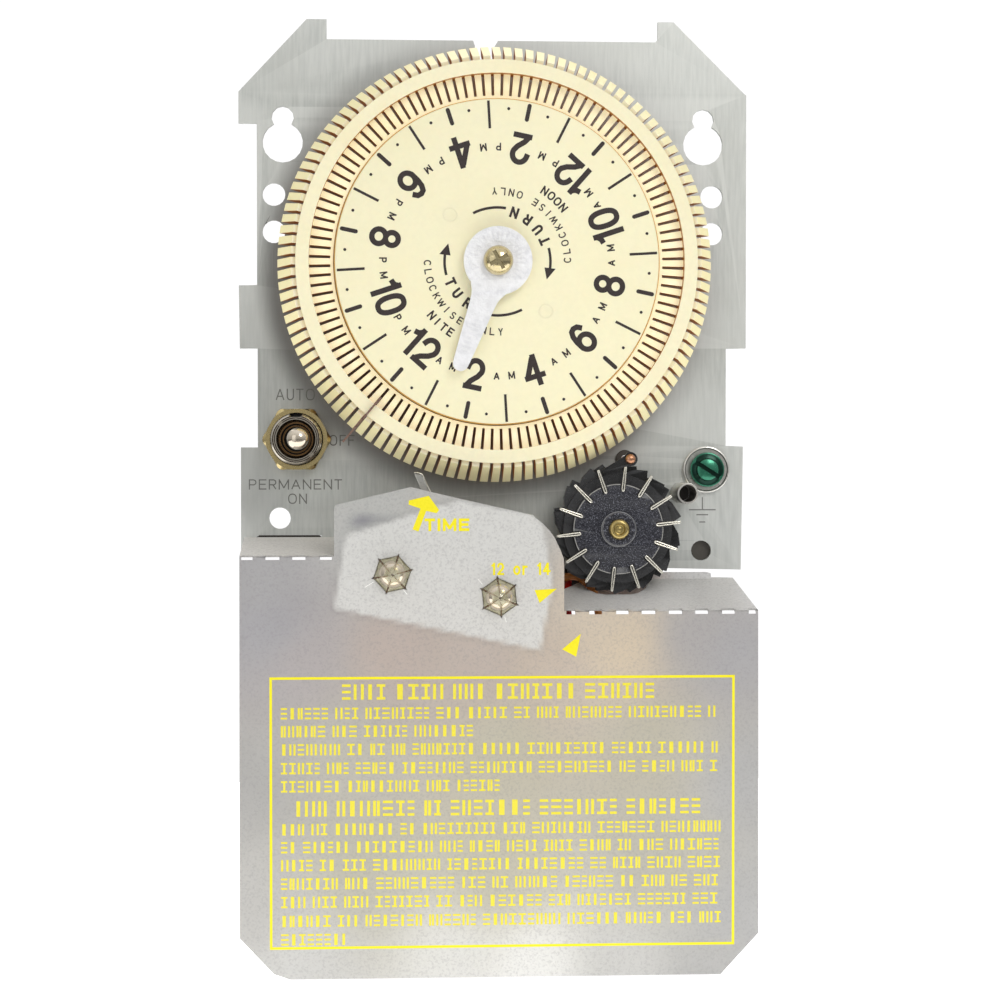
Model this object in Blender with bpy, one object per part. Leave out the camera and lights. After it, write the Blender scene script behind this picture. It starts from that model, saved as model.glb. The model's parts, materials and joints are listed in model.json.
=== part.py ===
"""Mechanical twenty-four hour time switch with a skip-a-day wheel, on a flat steel plate.

Frame: X to the right, Z up; the front of the plate is the plane Y = 0 and everything in front of
it is at negative Y.  The origin is the middle of the bottom of the bounding box.
Lengths are millimetres, with x and z measured from the dial axis, which stands DIAL_Z above the
origin.  A height is the distance in front of the plate, so height h is Y = -h.
Angles are degrees, counterclockwise from +X as seen from the front.
"""

import math

import bmesh
import bpy
from mathutils import Vector
from mathutils.geometry import tessellate_polygon

for old in list(bpy.data.objects):
    bpy.data.objects.remove(old, do_unlink=True)

MM = 0.001
GAP = 0.3            # clearance between neighbouring pieces
DIAL_Z = 164.7       # the dial axis, above the bottom of the whole object

PLATE_BACK = -1.2    # height of the back of the plate
BEHIND = PLATE_BACK - GAP    # height where the pieces behind the plate begin

# ---- places on the plate, as (x, z) ----
CENTRE = (0.0, 0.0)
TOGGLE = (-46.7, -41.0)
DAY = (28.4, -62.0)
GROUND = (50.8, -48.2)
TUBE = (44.7, -53.7)
POST_LEFT, POST_RIGHT = (-24.4, -71.9), (0.1, -77.2)
LEVER_PIVOT = (-12.0, -62.0)
CONTACT_PIVOT = (-9.0, -84.5)
DETENT_POST = (31.3, -45.7)
MOTOR_SCREWS = ((-24.0, -22.0), (24.0, -22.0))

# ---- gears ----
GEAR_MODULE = 1.2
TIP_RISE, ROOT_DROP = 0.9, 1.5    # tooth tip and root, from the pitch circle
DRIVE_TEETH, PINION_TEETH = 40, 10
PINION = (0.0, -GEAR_MODULE * (DRIVE_TEETH + PINION_TEETH) / 2.0)

# ---- sizes that several pieces share ----
BUSHING_R = 5.95
MOTOR_HOLE_R = 2.0
CONTACT_BORE_R = 1.6
DIAL_BORE_R = 4.0


# ------------------------------------------------------------------------------------------------
# materials
# ------------------------------------------------------------------------------------------------
def material(name, rgb, roughness, metallic=0.0, alpha=1.0):
    made = bpy.data.materials.new(name)
    made.use_nodes = True
    shader = made.node_tree.nodes["Principled BSDF"]
    shader.inputs["Base Color"].default_value = (*rgb, 1.0)
    shader.inputs["Roughness"].default_value = roughness
    shader.inputs["Metallic"].default_value = metallic
    shader.inputs["Alpha"].default_value = alpha
    made.diffuse_color = (*rgb, 1.0)
    return made


STEEL = material("galvanised_steel", rgb=(0.55, 0.56, 0.55), roughness=0.42, metallic=0.85)
ZINC = material("zinc_plated_steel", rgb=(0.62, 0.62, 0.62), roughness=0.3, metallic=1.0)
NICKEL = material("nickel", rgb=(0.66, 0.62, 0.60), roughness=0.18, metallic=1.0)
YELLOW_ZINC = material("yellow_zinc", rgb=(0.62, 0.50, 0.24), roughness=0.25, metallic=1.0)
BRASS = material("brass", rgb=(0.72, 0.55, 0.25), roughness=0.28, metallic=1.0)
COPPER = material("copper_rivet", rgb=(0.60, 0.30, 0.15), roughness=0.3, metallic=1.0)
CAST = material("cast_aluminium", rgb=(0.78, 0.78, 0.79), roughness=0.5, metallic=0.6)
CREAM = material("cream_plastic", rgb=(0.93, 0.86, 0.60), roughness=0.45)
BLACK = material("black_plastic", rgb=(0.02, 0.02, 0.022), roughness=0.4)
SPECKLED = material("speckled_disc", rgb=(0.07, 0.075, 0.10), roughness=0.4, metallic=0.3)
FROSTED = material("frosted_sheet", rgb=(0.66, 0.65, 0.63), roughness=0.5, alpha=0.8)
PALE = material("pale_fibre", rgb=(0.78, 0.77, 0.75), roughness=0.6)
PHENOLIC = material("brown_phenolic", rgb=(0.10, 0.05, 0.035), roughness=0.45)
GREEN = material("green_paint", rgb=(0.01, 0.33, 0.20), roughness=0.3, metallic=0.5)
RED = material("red_insulation", rgb=(0.55, 0.03, 0.03), roughness=0.45)
ORANGE = material("orange_insulation", rgb=(0.62, 0.28, 0.08), roughness=0.45)
MOTOR_CAN = material("motor_can", rgb=(0.58, 0.58, 0.57), roughness=0.35, metallic=1.0)
COIL_TAPE = material("coil_tape", rgb=(0.75, 0.70, 0.55), roughness=0.6)


# ------------------------------------------------------------------------------------------------
# plane geometry, as lists of (x, z)
# ------------------------------------------------------------------------------------------------
def polar(at, radius, angle):
    turn = math.radians(angle)
    return (at[0] + radius * math.cos(turn), at[1] + radius * math.sin(turn))


def circle(at, radius, count, phase=0.0):
    return [polar(at, radius, phase + 360.0 * i / count) for i in range(count)]


def arc(at, radius, start, end, count):
    return [polar(at, radius, start + (end - start) * i / count) for i in range(count + 1)]


def rectangle(left, right, bottom, top):
    return [(left, bottom), (right, bottom), (right, top), (left, top)]


def mirrored(half):
    """The points, then the same points in reverse with the second coordinate negated."""
    return list(half) + [(first, -second) for first, second in reversed(half)]


def strip(start, end, half_width):
    return mirrored([(start, -half_width), (end, -half_width)])


def laid_along(angle, local, at=CENTRE):
    """Places (reach, offset) points: reach along the angle, offset counterclockwise of it."""
    turn = math.radians(angle)
    along = Vector((math.cos(turn), math.sin(turn)))
    across = Vector((-math.sin(turn), math.cos(turn)))
    return [tuple(Vector(at) + along * reach + across * offset) for reach, offset in local]


def repeated(at, count, phase, pattern):
    """Repeats a pattern of (radius, degrees from its middle) points round a circle."""
    return [
        polar(at, radius, phase + 360.0 * i / count + offset)
        for i in range(count)
        for radius, offset in pattern
    ]


def gear_outline(at, teeth, tip_width, root_width, phase=0.0):
    """Straight-sided teeth; the widths are in degrees."""
    pitch_r = GEAR_MODULE * teeth / 2.0
    flank = [(pitch_r - ROOT_DROP, -root_width / 2), (pitch_r + TIP_RISE, -tip_width / 2)]
    return repeated(at, teeth, phase, mirrored(flank))


def keyhole(x, big_z, big_r, small_z, small_r, count):
    """A round entry with a smaller round seat above it."""
    rise = small_z - big_z
    meet = (big_r**2 - small_r**2 + rise**2) / (2.0 * rise)    # crossing, above the entry centre
    half = math.sqrt(big_r**2 - meet**2)
    big_angle = math.degrees(math.atan2(meet, half))
    small_angle = math.degrees(math.atan2(meet - rise, half))
    big = arc((x, big_z), big_r, 180.0 - big_angle, 360.0 + big_angle, count)
    small = arc((x, small_z), small_r, small_angle, 180.0 - small_angle, count // 2)
    return big + small[1:-1]


# ------------------------------------------------------------------------------------------------
# solids, as (points, faces)
# ------------------------------------------------------------------------------------------------
def triangles(loops):
    return tessellate_polygon([[Vector((x, z, 0.0)) for x, z in loop] for loop in loops])


def slab(outline, back, front, holes=()):
    """The flat shape, with its holes, between two heights."""
    loops = [outline] + list(holes)
    flat = [corner for loop in loops for corner in loop]
    count = len(flat)
    points = [(x, -back, z) for x, z in flat] + [(x, -front, z) for x, z in flat]
    caps = triangles(loops)
    faces = [tuple(cap) for cap in caps]
    faces += [tuple(i + count for i in reversed(cap)) for cap in caps]
    start = 0
    for loop in loops:
        for i in range(len(loop)):
            here, after = start + i, start + (i + 1) % len(loop)
            faces.append((here, after, after + count, here + count))
        start += len(loop)
    return points, faces


def block(left, right, bottom, top, back, front):
    return slab(rectangle(left, right, bottom, top), back, front)


def turned(profile, at, count, ring=False):
    """Turns (radius, height) points about the line through at, square to the plate.

    A ring joins its last point to its first.
    """
    points, rows = [], []
    for radius, height in profile:
        if radius == 0.0:
            rows.append([len(points)] * count)
            points.append((at[0], -height, at[1]))
        else:
            rows.append(list(range(len(points), len(points) + count)))
            points += [(x, -height, z) for x, z in circle(at, radius, count)]
    faces = []
    pairs = list(zip(rows, rows[1:])) + ([(rows[-1], rows[0])] if ring else [])
    for low, high in pairs:
        for i in range(count):
            j = (i + 1) % count
            corners = []
            for index in (low[i], low[j], high[j], high[i]):
                if index not in corners:
                    corners.append(index)
            if len(corners) > 2:
                faces.append(tuple(corners))
    return points, faces


def smooth_path(line, steps=3):
    """A Catmull-Rom curve through the points of the line."""
    out = []
    for i in range(len(line) - 1):
        before, start = line[max(i - 1, 0)], line[i]
        end, after = line[i + 1], line[min(i + 2, len(line) - 1)]
        for step in range(steps):
            part = step / steps
            out.append(0.5 * (
                (2 * start)
                + (end - before) * part
                + (2 * before - 5 * start + 4 * end - after) * part * part
                + (3 * start - before - 3 * end + after) * part**3
            ))
    out.append(line[-1])
    return out


def cable(path, radius, sides):
    """A round rod along a smooth path of (x, height, z) points."""
    line = smooth_path([Vector((x, -height, z)) for x, height, z in path])
    side = (line[1] - line[0]).orthogonal().normalized()
    points, faces = [], []
    for i, here in enumerate(line):
        ahead = (line[min(i + 1, len(line) - 1)] - line[max(i - 1, 0)]).normalized()
        side = (side - ahead * side.dot(ahead)).normalized()
        across = ahead.cross(side)
        for k in range(sides):
            turn = 2 * math.pi * k / sides
            points.append(tuple(here + radius * (math.cos(turn) * side + math.sin(turn) * across)))
    for i in range(len(line) - 1):
        low, high = i * sides, (i + 1) * sides
        for k in range(sides):
            j = (k + 1) % sides
            faces.append((low + k, low + j, high + j, high + k))
    faces.append(tuple(reversed(range(sides))))
    last = (len(line) - 1) * sides
    faces.append(tuple(range(last, last + sides)))
    return points, faces


# ------------------------------------------------------------------------------------------------
# objects
# ------------------------------------------------------------------------------------------------
def mesh_of(name, shape, origin=(0.0, 0.0, 0.0)):
    points, faces = shape
    local = [tuple((point[i] - origin[i]) * MM for i in range(3)) for point in points]
    mesh = bpy.data.meshes.new(name)
    mesh.from_pydata(local, [], faces)
    work = bmesh.new()
    work.from_mesh(mesh)
    bmesh.ops.remove_doubles(work, verts=work.verts, dist=2e-7)
    bmesh.ops.recalc_face_normals(work, faces=work.faces)
    work.to_mesh(mesh)
    work.free()
    return mesh


def make_axis(name, at, height=0.0):
    """An empty that pieces turn about, with its place as an origin for them."""
    empty = bpy.data.objects.new(name, None)
    empty.empty_display_size = 0.01
    empty.location = (at[0] * MM, -height * MM, (at[1] + DIAL_Z) * MM)
    bpy.context.scene.collection.objects.link(empty)
    return empty, (at[0], -height, at[1])


def piece(name, shape, look, smooth=0.0, axis=None):
    """One object, on the dial axis or on the given axis, which becomes its parent.

    Edges sharper than the smooth angle stay sharp; zero leaves the shading flat.
    """
    parent, origin = axis or (None, (0.0, 0.0, 0.0))
    mesh = mesh_of(name, shape, origin)
    mesh.materials.append(look)
    if smooth:
        mesh.shade_smooth()
        mesh.set_sharp_from_angle(angle=math.radians(smooth))
    made = bpy.data.objects.new(name, mesh)
    bpy.context.scene.collection.objects.link(made)
    made.location = Vector((origin[0], origin[1], origin[2] + DIAL_Z)) * MM
    if parent is not None:
        made.parent = parent
        made.location -= parent.location
    return made


def cut(target, operation, shape):
    """Adds a Boolean with a hidden operand."""
    count = len(target.modifiers)
    name = f"{target.name}_tool_{count}"
    other = bpy.data.objects.new(name, mesh_of(name, shape))
    bpy.context.scene.collection.objects.link(other)
    other.location = (0.0, 0.0, DIAL_Z * MM)
    other.hide_render = True
    other.display_type = "WIRE"
    made = target.modifiers.new(f"{operation.lower()}_{count}", "BOOLEAN")
    made.operation = operation
    made.object = other
    made.solver = "EXACT"


# ------------------------------------------------------------------------------------------------
# plate
# ------------------------------------------------------------------------------------------------
PLATE_OUTLINE = [    # (x, z), clockwise from the top left
    (-44.3, 58.3), (-39.6, 58.3), (-39.6, 53.6), (-4.9, 53.6), (-4.5, 52.3), (-4.5, 45.4),
    (0.2, 45.4), (0.2, 52.3), (1.0, 53.6), (38.5, 53.6), (39.1, 54.2), (39.1, 58.4),
    (42.9, 58.4), (59.6, 41.8), (60.4, 41.2), (60.4, -19.2), (55.6, -19.3), (55.6, -42.5),
    (59.8, -42.7), (59.3, -72.2), (14.0, -71.2), (14.0, -88.0), (50.0, -90.0), (50.0, -150.0),
    (-50.0, -150.0), (-50.0, -90.0), (-34.0, -88.0), (-34.0, -67.4), (-60.0, -67.4),
    (-60.0, -42.9), (-56.0, -42.9), (-56.0, -19.5), (-60.2, -19.5), (-60.4, -4.6),
    (-56.1, -4.5), (-56.1, 33.6), (-60.4, 33.6), (-60.4, 41.1),
]
KEY_X = 50.0    # keyholes and side holes are on both sides of the dial
KEY_BIG_Z, KEY_BIG_R, KEY_SMALL_Z, KEY_SMALL_R = 29.2, 4.75, 35.1, 2.625
SIDE_HOLE_X, SIDE_HOLE_ZS, SIDE_HOLE_R = 52.1, (16.9, 8.1), 2.7
LOWER_HOLES = (((-50.8, -59.7), 2.55, 18), ((49.7, -67.6), 2.4, 18))    # centre, radius, sides
LOWER_WINDOW = rectangle(-56.0, -41.0, -65.6, -63.8)
FITTING_HOLES = (    # centre, radius, sides
    (TOGGLE, BUSHING_R + GAP + 0.05, 20), (CENTRE, 4.0, 12), (PINION, 2.2, 8),
    (GROUND, 2.3, 8), (TUBE, 2.05, 12), (DAY, 2.3, 8), (POST_LEFT, 2.4, 8),
    (POST_RIGHT, 2.4, 8), (LEVER_PIVOT, 1.9, 8), (DETENT_POST, 1.2, 8),
    (CONTACT_PIVOT, CONTACT_BORE_R, 8),
    (MOTOR_SCREWS[0], MOTOR_HOLE_R, 8), (MOTOR_SCREWS[1], MOTOR_HOLE_R, 8),
    ((-38.0, -140.0), 2.6, 12), ((38.0, -140.0), 2.6, 12),
)


def build_plate():
    holes = []
    for side in (-1, 1):
        holes.append(keyhole(side * KEY_X, KEY_BIG_Z, KEY_BIG_R, KEY_SMALL_Z, KEY_SMALL_R, 16))
        holes += [circle((side * SIDE_HOLE_X, z), SIDE_HOLE_R, 18) for z in SIDE_HOLE_ZS]
    holes += [circle(*hole) for hole in LOWER_HOLES]
    holes.append(LOWER_WINDOW)
    holes += [circle(*hole) for hole in FITTING_HOLES]
    piece("base_plate", slab(PLATE_OUTLINE, PLATE_BACK, 0.0, holes), STEEL)


# ------------------------------------------------------------------------------------------------
# insulator sheet: a flat front and two flaps that lean back and up to the plate
# ------------------------------------------------------------------------------------------------
SHEET_H, SHEET_T = 21.5, 0.5    # height of the middle of the front, and thickness
FLAP_END_H = 0.75
DASH_IN_FRONT, DASH_IN_FLAP = 0.6, 1.2    # how far each fold dash cuts into either side
POST_HOLE_R = 4.3

LEFT_FOLD_Z, LEFT_END_Z, LEFT_SIDES = -68.0, -64.4, (-59.2, -37.7)
LEFT_DASHES = [(-58.8, -56.2), (-53.3, -50.1), (-47.2, -44.2), (-40.9, -38.2)]    # start and end x
LEFT_EDGE = [(-38.0, 1.0), (-59.2, 1.0)]    # x, share of the way up the flap

RIGHT_FOLD_Z, RIGHT_END_Z, RIGHT_SIDES = -80.7, -74.2, (15.0, 59.9)
RIGHT_DASHES = [    # start and end x
    (15.5, 17.6), (20.8, 23.75), (27.0, 29.9), (32.9, 36.1),
    (39.2, 42.3), (45.3, 48.3), (51.5, 54.5), (57.7, 59.4),
]
RIGHT_EDGE = [    # x, share of the way up the flap; cut away round the day wheel
    (57.2, 0.985), (53.0, 1.0), (DAY[0] + 8.4, 1.0), (DAY[0] + 7.6, 0.75), (DAY[0] + 4.4, 0.48),
    (DAY[0] - 4.4, 0.48), (DAY[0] - 7.6, 0.75), (DAY[0] - 8.2, 0.86), (16.2, 0.65), (15.0, 0.62),
]
SHEET_TOP = [    # (x, z), between the two folds
    (-37.7, -56.2), (-37.3, -56.1), (-20.2, -52.0), (-16.1, -53.0), (-6.6, -55.2), (6.3, -58.1),
    (10.1, -60.4), (12.8, -63.6), (14.9, -68.5),
]
SHEET_BOTTOM = [    # (x, z), from right to left
    (60.1, -155.2), (51.3, -DIAL_Z), (-47.8, -DIAL_Z), (-51.5, -163.4), (-59.3, -155.1),
]


def fold_line(level, sides, dashes, depth):
    """The fold from left to right, stepping down by depth at each dash."""
    out = [(sides[0], level)]
    for start, end in dashes:
        out += [(start, level), (start, level - depth), (end, level - depth), (end, level)]
    return out + [(sides[1], level)]


def flap(fold_z, end_z, sides, dashes, free_edge):
    """The flap's flat outline, as x and distance up from the fold, and its placing function."""
    length = math.hypot(end_z - fold_z, SHEET_H - FLAP_END_H)

    def place(x, distance):
        share = distance / length
        height = SHEET_H + (FLAP_END_H - SHEET_H) * share
        return (x, -height, fold_z + (end_z - fold_z) * share)

    outline = fold_line(0.0, sides, dashes, -DASH_IN_FLAP)
    outline += [(x, length * share) for x, share in free_edge]
    return outline, place


def folded_sheet():
    """The middle surface of the sheet."""
    points, faces = [], []

    def add_surface(loops, place):
        start = len(points)
        points.extend(place(*corner) for loop in loops for corner in loop)
        faces.extend(tuple(i + start for i in cap) for cap in triangles(loops))

    front = fold_line(LEFT_FOLD_Z, LEFT_SIDES, LEFT_DASHES, DASH_IN_FRONT) + SHEET_TOP
    front += fold_line(RIGHT_FOLD_Z, RIGHT_SIDES, RIGHT_DASHES, DASH_IN_FRONT) + SHEET_BOTTOM
    post_holes = [circle(POST_LEFT, POST_HOLE_R, 6, 12.0), circle(POST_RIGHT, POST_HOLE_R, 6, 36.0)]
    add_surface([front] + post_holes, lambda x, z: (x, -SHEET_H, z))
    for flap_sizes in (
        (LEFT_FOLD_Z, LEFT_END_Z, LEFT_SIDES, LEFT_DASHES, LEFT_EDGE),
        (RIGHT_FOLD_Z, RIGHT_END_Z, RIGHT_SIDES, RIGHT_DASHES, RIGHT_EDGE),
    ):
        outline, place = flap(*flap_sizes)
        add_surface([outline], place)
    return points, faces


def build_sheet():
    sheet = piece("insulator_sheet", folded_sheet(), FROSTED)
    thick = sheet.modifiers.new("thickness", "SOLIDIFY")
    thick.thickness = SHEET_T * MM
    thick.offset = 0.0
    thick.use_even_offset = True
    thick.use_rim = True


# ------------------------------------------------------------------------------------------------
# switch: cover, posts, base and fixed contact
# ------------------------------------------------------------------------------------------------
COVER_OUTLINE = [
    (-35.0, -62.9), (-9.3, -55.1), (8.0, -58.5), (10.2, -61.0), (12.3, -74.3), (9.5, -89.5),
    (-37.7, -79.7),
]
POST_PROFILE = [    # radius, height
    (0.0, PLATE_BACK), (2.0, PLATE_BACK), (2.0, GAP), (4.6, GAP), (4.6, 17.7), (3.2, 17.7),
    (3.2, 22.6), (2.8, 23.9), (1.6, 24.9), (0.0, 25.1),
]
BASE_OUTLINE = [
    (-32.0, -86.5), (8.0, -86.5), (8.0, -71.6), (4.6, -70.4), (-6.5, -67.4), (-18.5, -66.0),
    (-32.0, -63.5),
]


def build_switch_frame():
    cover_holes = [circle(post, 3.6, 14) for post in (POST_LEFT, POST_RIGHT)]
    cover = slab(COVER_OUTLINE, back=18.0, front=19.4, holes=cover_holes)
    piece("switch_cover_plate", cover, PALE)
    piece("post_left", turned(POST_PROFILE, POST_LEFT, 20), NICKEL, smooth=40)
    piece("post_right", turned(POST_PROFILE, POST_RIGHT, 20), NICKEL, smooth=40)
    base_holes = [circle(post, 5.0, 12) for post in (POST_LEFT, POST_RIGHT)]
    base_holes.append(circle(CONTACT_PIVOT, CONTACT_BORE_R, 8))
    piece("switch_base", slab(BASE_OUTLINE, back=GAP, front=8.4, holes=base_holes), PHENOLIC)


def build_fixed_contact():
    blade = block(left=-4.9, right=-3.9, bottom=-72.0, top=-67.6, back=8.7, front=14.0)
    contact = piece("fixed_contact", blade, BRASS)
    button = block(left=-5.6, right=-4.4, bottom=-70.9, top=-68.9, back=10.4, front=12.6)
    cut(contact, "UNION", button)


# ------------------------------------------------------------------------------------------------
# terminal block
# ------------------------------------------------------------------------------------------------
TERMINAL_PITCH, TERMINAL_Z = 18.0, -106.0
TERMINALS = [(TERMINAL_PITCH * i, TERMINAL_Z) for i in range(-2, 3)]
RIB_XS, RIB_HALF = (-44.5, -27.0, -9.0, 9.0, 27.0, 44.5), 1.2
TERMINAL_SCREW = [    # radius, height
    (0.0, 2.0), (2.0, 2.0), (2.0, 9.8), (5.0, 9.8), (5.0, 10.9), (4.1, 10.9), (4.1, 13.3),
    (0.0, 13.5),
]
SLOT_REACH, TERMINAL_SLOT_HALF = 6.0, 0.6    # half length and half width of a screw slot


def build_terminals():
    wall = rectangle(left=-46.0, right=46.0, bottom=-116.5, top=-95.0)
    holes = [circle(at, 2.4, 8) for at in TERMINALS]
    terminal = piece("terminal_block", slab(wall, back=GAP, front=9.5, holes=holes), PHENOLIC)
    for x in RIB_XS:
        rib = block(x - RIB_HALF, x + RIB_HALF, bottom=-115.7, top=-95.8, back=8.5, front=17.5)
        cut(terminal, "UNION", rib)
    for number, at in enumerate(TERMINALS, 1):
        shape = turned(TERMINAL_SCREW, at, 12)
        screw = piece(f"terminal_screw_{number}", shape, BRASS, smooth=40)
        slot = rectangle(at[0] - TERMINAL_SLOT_HALF, at[0] + TERMINAL_SLOT_HALF,
                         TERMINAL_Z - SLOT_REACH, TERMINAL_Z + SLOT_REACH)
        cut(screw, "DIFFERENCE", slab(slot, back=12.3, front=15.0))


# ------------------------------------------------------------------------------------------------
# toggle switch
# ------------------------------------------------------------------------------------------------
BODY_HALF_X, BODY_HALF_Z = 6.8, 14.5
LUG_HALF_X, LUG_HALF_Z, LUG_STEPS = 3.1, 0.4, (-9.5, 0.0, 9.5)    # rear lugs, z from the middle
BUSHING_BORE, BUSHING_SIDES, GROOVE_DEPTH = 4.15, 36, 0.95
NUT_FLATS = 14.29
TOGGLE_PIVOT_H = 3.0
LOCK_WASHER = [(6.3, GAP), (7.3, GAP), (7.3, 1.1), (6.3, 1.1)]    # radius, height
LEVER_PROFILE = [    # radius, height
    (0.0, 0.8), (1.3, 1.2), (1.8, 3.0), (1.65, 6.0), (1.6, 11.0), (1.8, 16.0), (2.15, 21.0),
    (2.5, 24.0), (2.45, 25.6), (1.95, 27.0), (1.1, 27.7), (0.0, 27.9),
]


def build_toggle_body():
    x, z = TOGGLE
    shape = block(x - BODY_HALF_X, x + BODY_HALF_X, z - BODY_HALF_Z, z + BODY_HALF_Z,
                  back=-19.0, front=BEHIND)
    body = piece("toggle_body", shape, BLACK)
    for step in LUG_STEPS:
        lug = block(x - LUG_HALF_X, x + LUG_HALF_X, z + step - LUG_HALF_Z, z + step + LUG_HALF_Z,
                    back=-27.9, front=-18.0)
        cut(body, "UNION", lug)


def build_toggle_front():
    # the three points round the top are set in, which leaves a groove along the bushing
    bushing = []
    for i in range(BUSHING_SIDES):
        depth = GROOVE_DEPTH if i in (0, 1, BUSHING_SIDES - 1) else 0.0
        bushing.append(polar(TOGGLE, BUSHING_R - depth, 90.0 + 360.0 * i / BUSHING_SIDES))
    bore = circle(TOGGLE, BUSHING_BORE, 24)
    piece("toggle_bushing", slab(bushing, PLATE_BACK, 10.5, [bore]), NICKEL, smooth=30)
    washer = turned(LOCK_WASHER, TOGGLE, 24, ring=True)
    piece("toggle_lock_washer", washer, ZINC, smooth=40)
    hexagon = circle(TOGGLE, NUT_FLATS / 2 / math.cos(math.radians(30)), 6)
    nut = slab(hexagon, back=1.4, front=5.2, holes=[circle(TOGGLE, 6.25, 24)])
    piece("toggle_nut", nut, YELLOW_ZINC)
    tilt = make_axis("toggle_axis", TOGGLE, TOGGLE_PIVOT_H)
    piece("toggle_lever", turned(LEVER_PROFILE, TOGGLE, 20), NICKEL, smooth=60, axis=tilt)


# ------------------------------------------------------------------------------------------------
# ground screw and spacer tube
# ------------------------------------------------------------------------------------------------
GROUND_WASHER = [    # radius, height
    (2.4, GAP), (5.0, GAP), (5.5, 0.6), (5.5, 1.3), (5.1, 1.3), (4.9, 0.9), (2.4, 0.9),
]
GROUND_SCREW = [    # radius, height
    (0.0, -6.0), (1.9, -6.0), (1.9, 1.3), (4.1, 1.3), (4.1, 2.9), (3.8, 3.4), (3.1, 3.7),
    (0.0, 3.8),
]
GROUND_SLOT_ANGLE, GROUND_SLOT_HALF = -32.0, 0.55
TUBE_PROFILE = [(2.0, GAP), (2.5, GAP), (2.5, 13.3), (2.0, 13.3)]    # radius, height


def build_ground_screw():
    piece("ground_washer", turned(GROUND_WASHER, GROUND, 24, ring=True), ZINC, smooth=40)
    screw = piece("ground_screw", turned(GROUND_SCREW, GROUND, 24), GREEN, smooth=40)
    slot = laid_along(GROUND_SLOT_ANGLE, strip(-SLOT_REACH, SLOT_REACH, GROUND_SLOT_HALF), GROUND)
    cut(screw, "DIFFERENCE", slab(slot, back=2.5, front=5.0))


def build_spacer_tube():
    piece("spacer_tube", turned(TUBE_PROFILE, TUBE, 24, ring=True), ZINC, smooth=40)


# ------------------------------------------------------------------------------------------------
# dial shaft and pointer
# ------------------------------------------------------------------------------------------------
SHAFT_PROFILE = [    # radius, height
    (0.0, PLATE_BACK), (3.6, PLATE_BACK), (3.6, GAP), (6.0, GAP), (6.0, 1.5), (3.6, 1.5),
    (3.6, 16.7), (2.0, 16.7), (2.0, 9.0), (0.0, 9.0),
]
POINTER_ANGLE = 250.0
POINTER_HUB_R, POINTER_REACH, POINTER_TIP_R = 7.9, 26.9, 1.8
HUB_OPENING = 34.0    # degrees of hub left open on either side of the arm
POINTER_EDGE = [(POINTER_HUB_R, -3.55), (9.3, -2.95), (16.0, -2.55)]    # reach, offset
POINTER_SCREW = [    # radius, height
    (0.0, 9.4), (1.7, 9.4), (1.7, 19.5), (3.45, 19.5), (3.45, 20.5), (3.1, 21.3), (2.3, 21.9),
    (1.2, 22.2), (0.0, 22.3),
]
CROSS_ANGLES = (28.0, 118.0)


def pointer_outline():
    """A round hub and a tapering arm with a rounded end."""
    hub = arc(CENTRE, POINTER_HUB_R, POINTER_ANGLE + HUB_OPENING,
              POINTER_ANGLE + 360.0 - HUB_OPENING, 36)
    tip = arc((POINTER_REACH - POINTER_TIP_R, 0.0), POINTER_TIP_R, -90.0, 90.0, 8)
    edges = mirrored(POINTER_EDGE)
    side = len(POINTER_EDGE)
    return hub + laid_along(POINTER_ANGLE, edges[:side] + tip + edges[side:])


def build_pointer():
    piece("dial_shaft", turned(SHAFT_PROFILE, CENTRE, 14), ZINC, smooth=40)
    shape = slab(pointer_outline(), back=17.0, front=19.2, holes=[circle(CENTRE, 2.0, 12)])
    piece("pointer", shape, CAST)
    screw = piece("pointer_screw", turned(POINTER_SCREW, CENTRE, 20), YELLOW_ZINC, smooth=50)
    for angle in CROSS_ANGLES:
        slot = laid_along(angle, strip(-2.0, 2.0, half_width=0.35))
        cut(screw, "DIFFERENCE", slab(slot, back=21.0, front=24.0))


# ------------------------------------------------------------------------------------------------
# motor, behind the plate
# ------------------------------------------------------------------------------------------------
GEARBOX_BACK = -9.0
GEARBOX_EARS = [    # (x, z), above the round bottom, from right to left
    (18.0, -26.0), (28.0, -26.0), (28.0, -18.0), (18.0, -18.0), (12.0, -10.0),
    (-12.0, -10.0), (-18.0, -18.0), (-28.0, -18.0), (-28.0, -26.0), (-18.0, -26.0),
]
MOTOR_AT = (0.0, -12.0)
MOTOR_PROFILE = [    # radius, height
    (0.0, GEARBOX_BACK - GAP), (23.0, GEARBOX_BACK - GAP), (24.0, -10.0), (24.0, -20.5),
    (22.5, -22.0), (15.0, -22.0), (14.0, -24.0), (0.0, -24.5),
]
MOTOR_SCREW = [    # radius, height
    (0.0, -8.0), (1.6, -8.0), (1.6, GAP), (3.2, GAP), (3.2, 1.3), (2.6, 1.9), (0.0, 2.0),
]


def build_motor():
    outline = arc(PINION, 14.0, 200.0, 340.0, 16) + GEARBOX_EARS
    holes = [circle(at, MOTOR_HOLE_R, 8) for at in MOTOR_SCREWS]
    piece("motor_gearbox", slab(outline, GEARBOX_BACK, BEHIND, holes), ZINC)
    piece("motor_case", turned(MOTOR_PROFILE, MOTOR_AT, 32), MOTOR_CAN, smooth=35)
    coil = block(left=-17.0, right=17.0, bottom=12.6, top=30.0, back=-21.0, front=BEHIND)
    piece("motor_coil", coil, COIL_TAPE)
    for side, at in zip(("left", "right"), MOTOR_SCREWS):
        piece(f"motor_screw_{side}", turned(MOTOR_SCREW, at, 10), ZINC, smooth=40)


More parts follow.
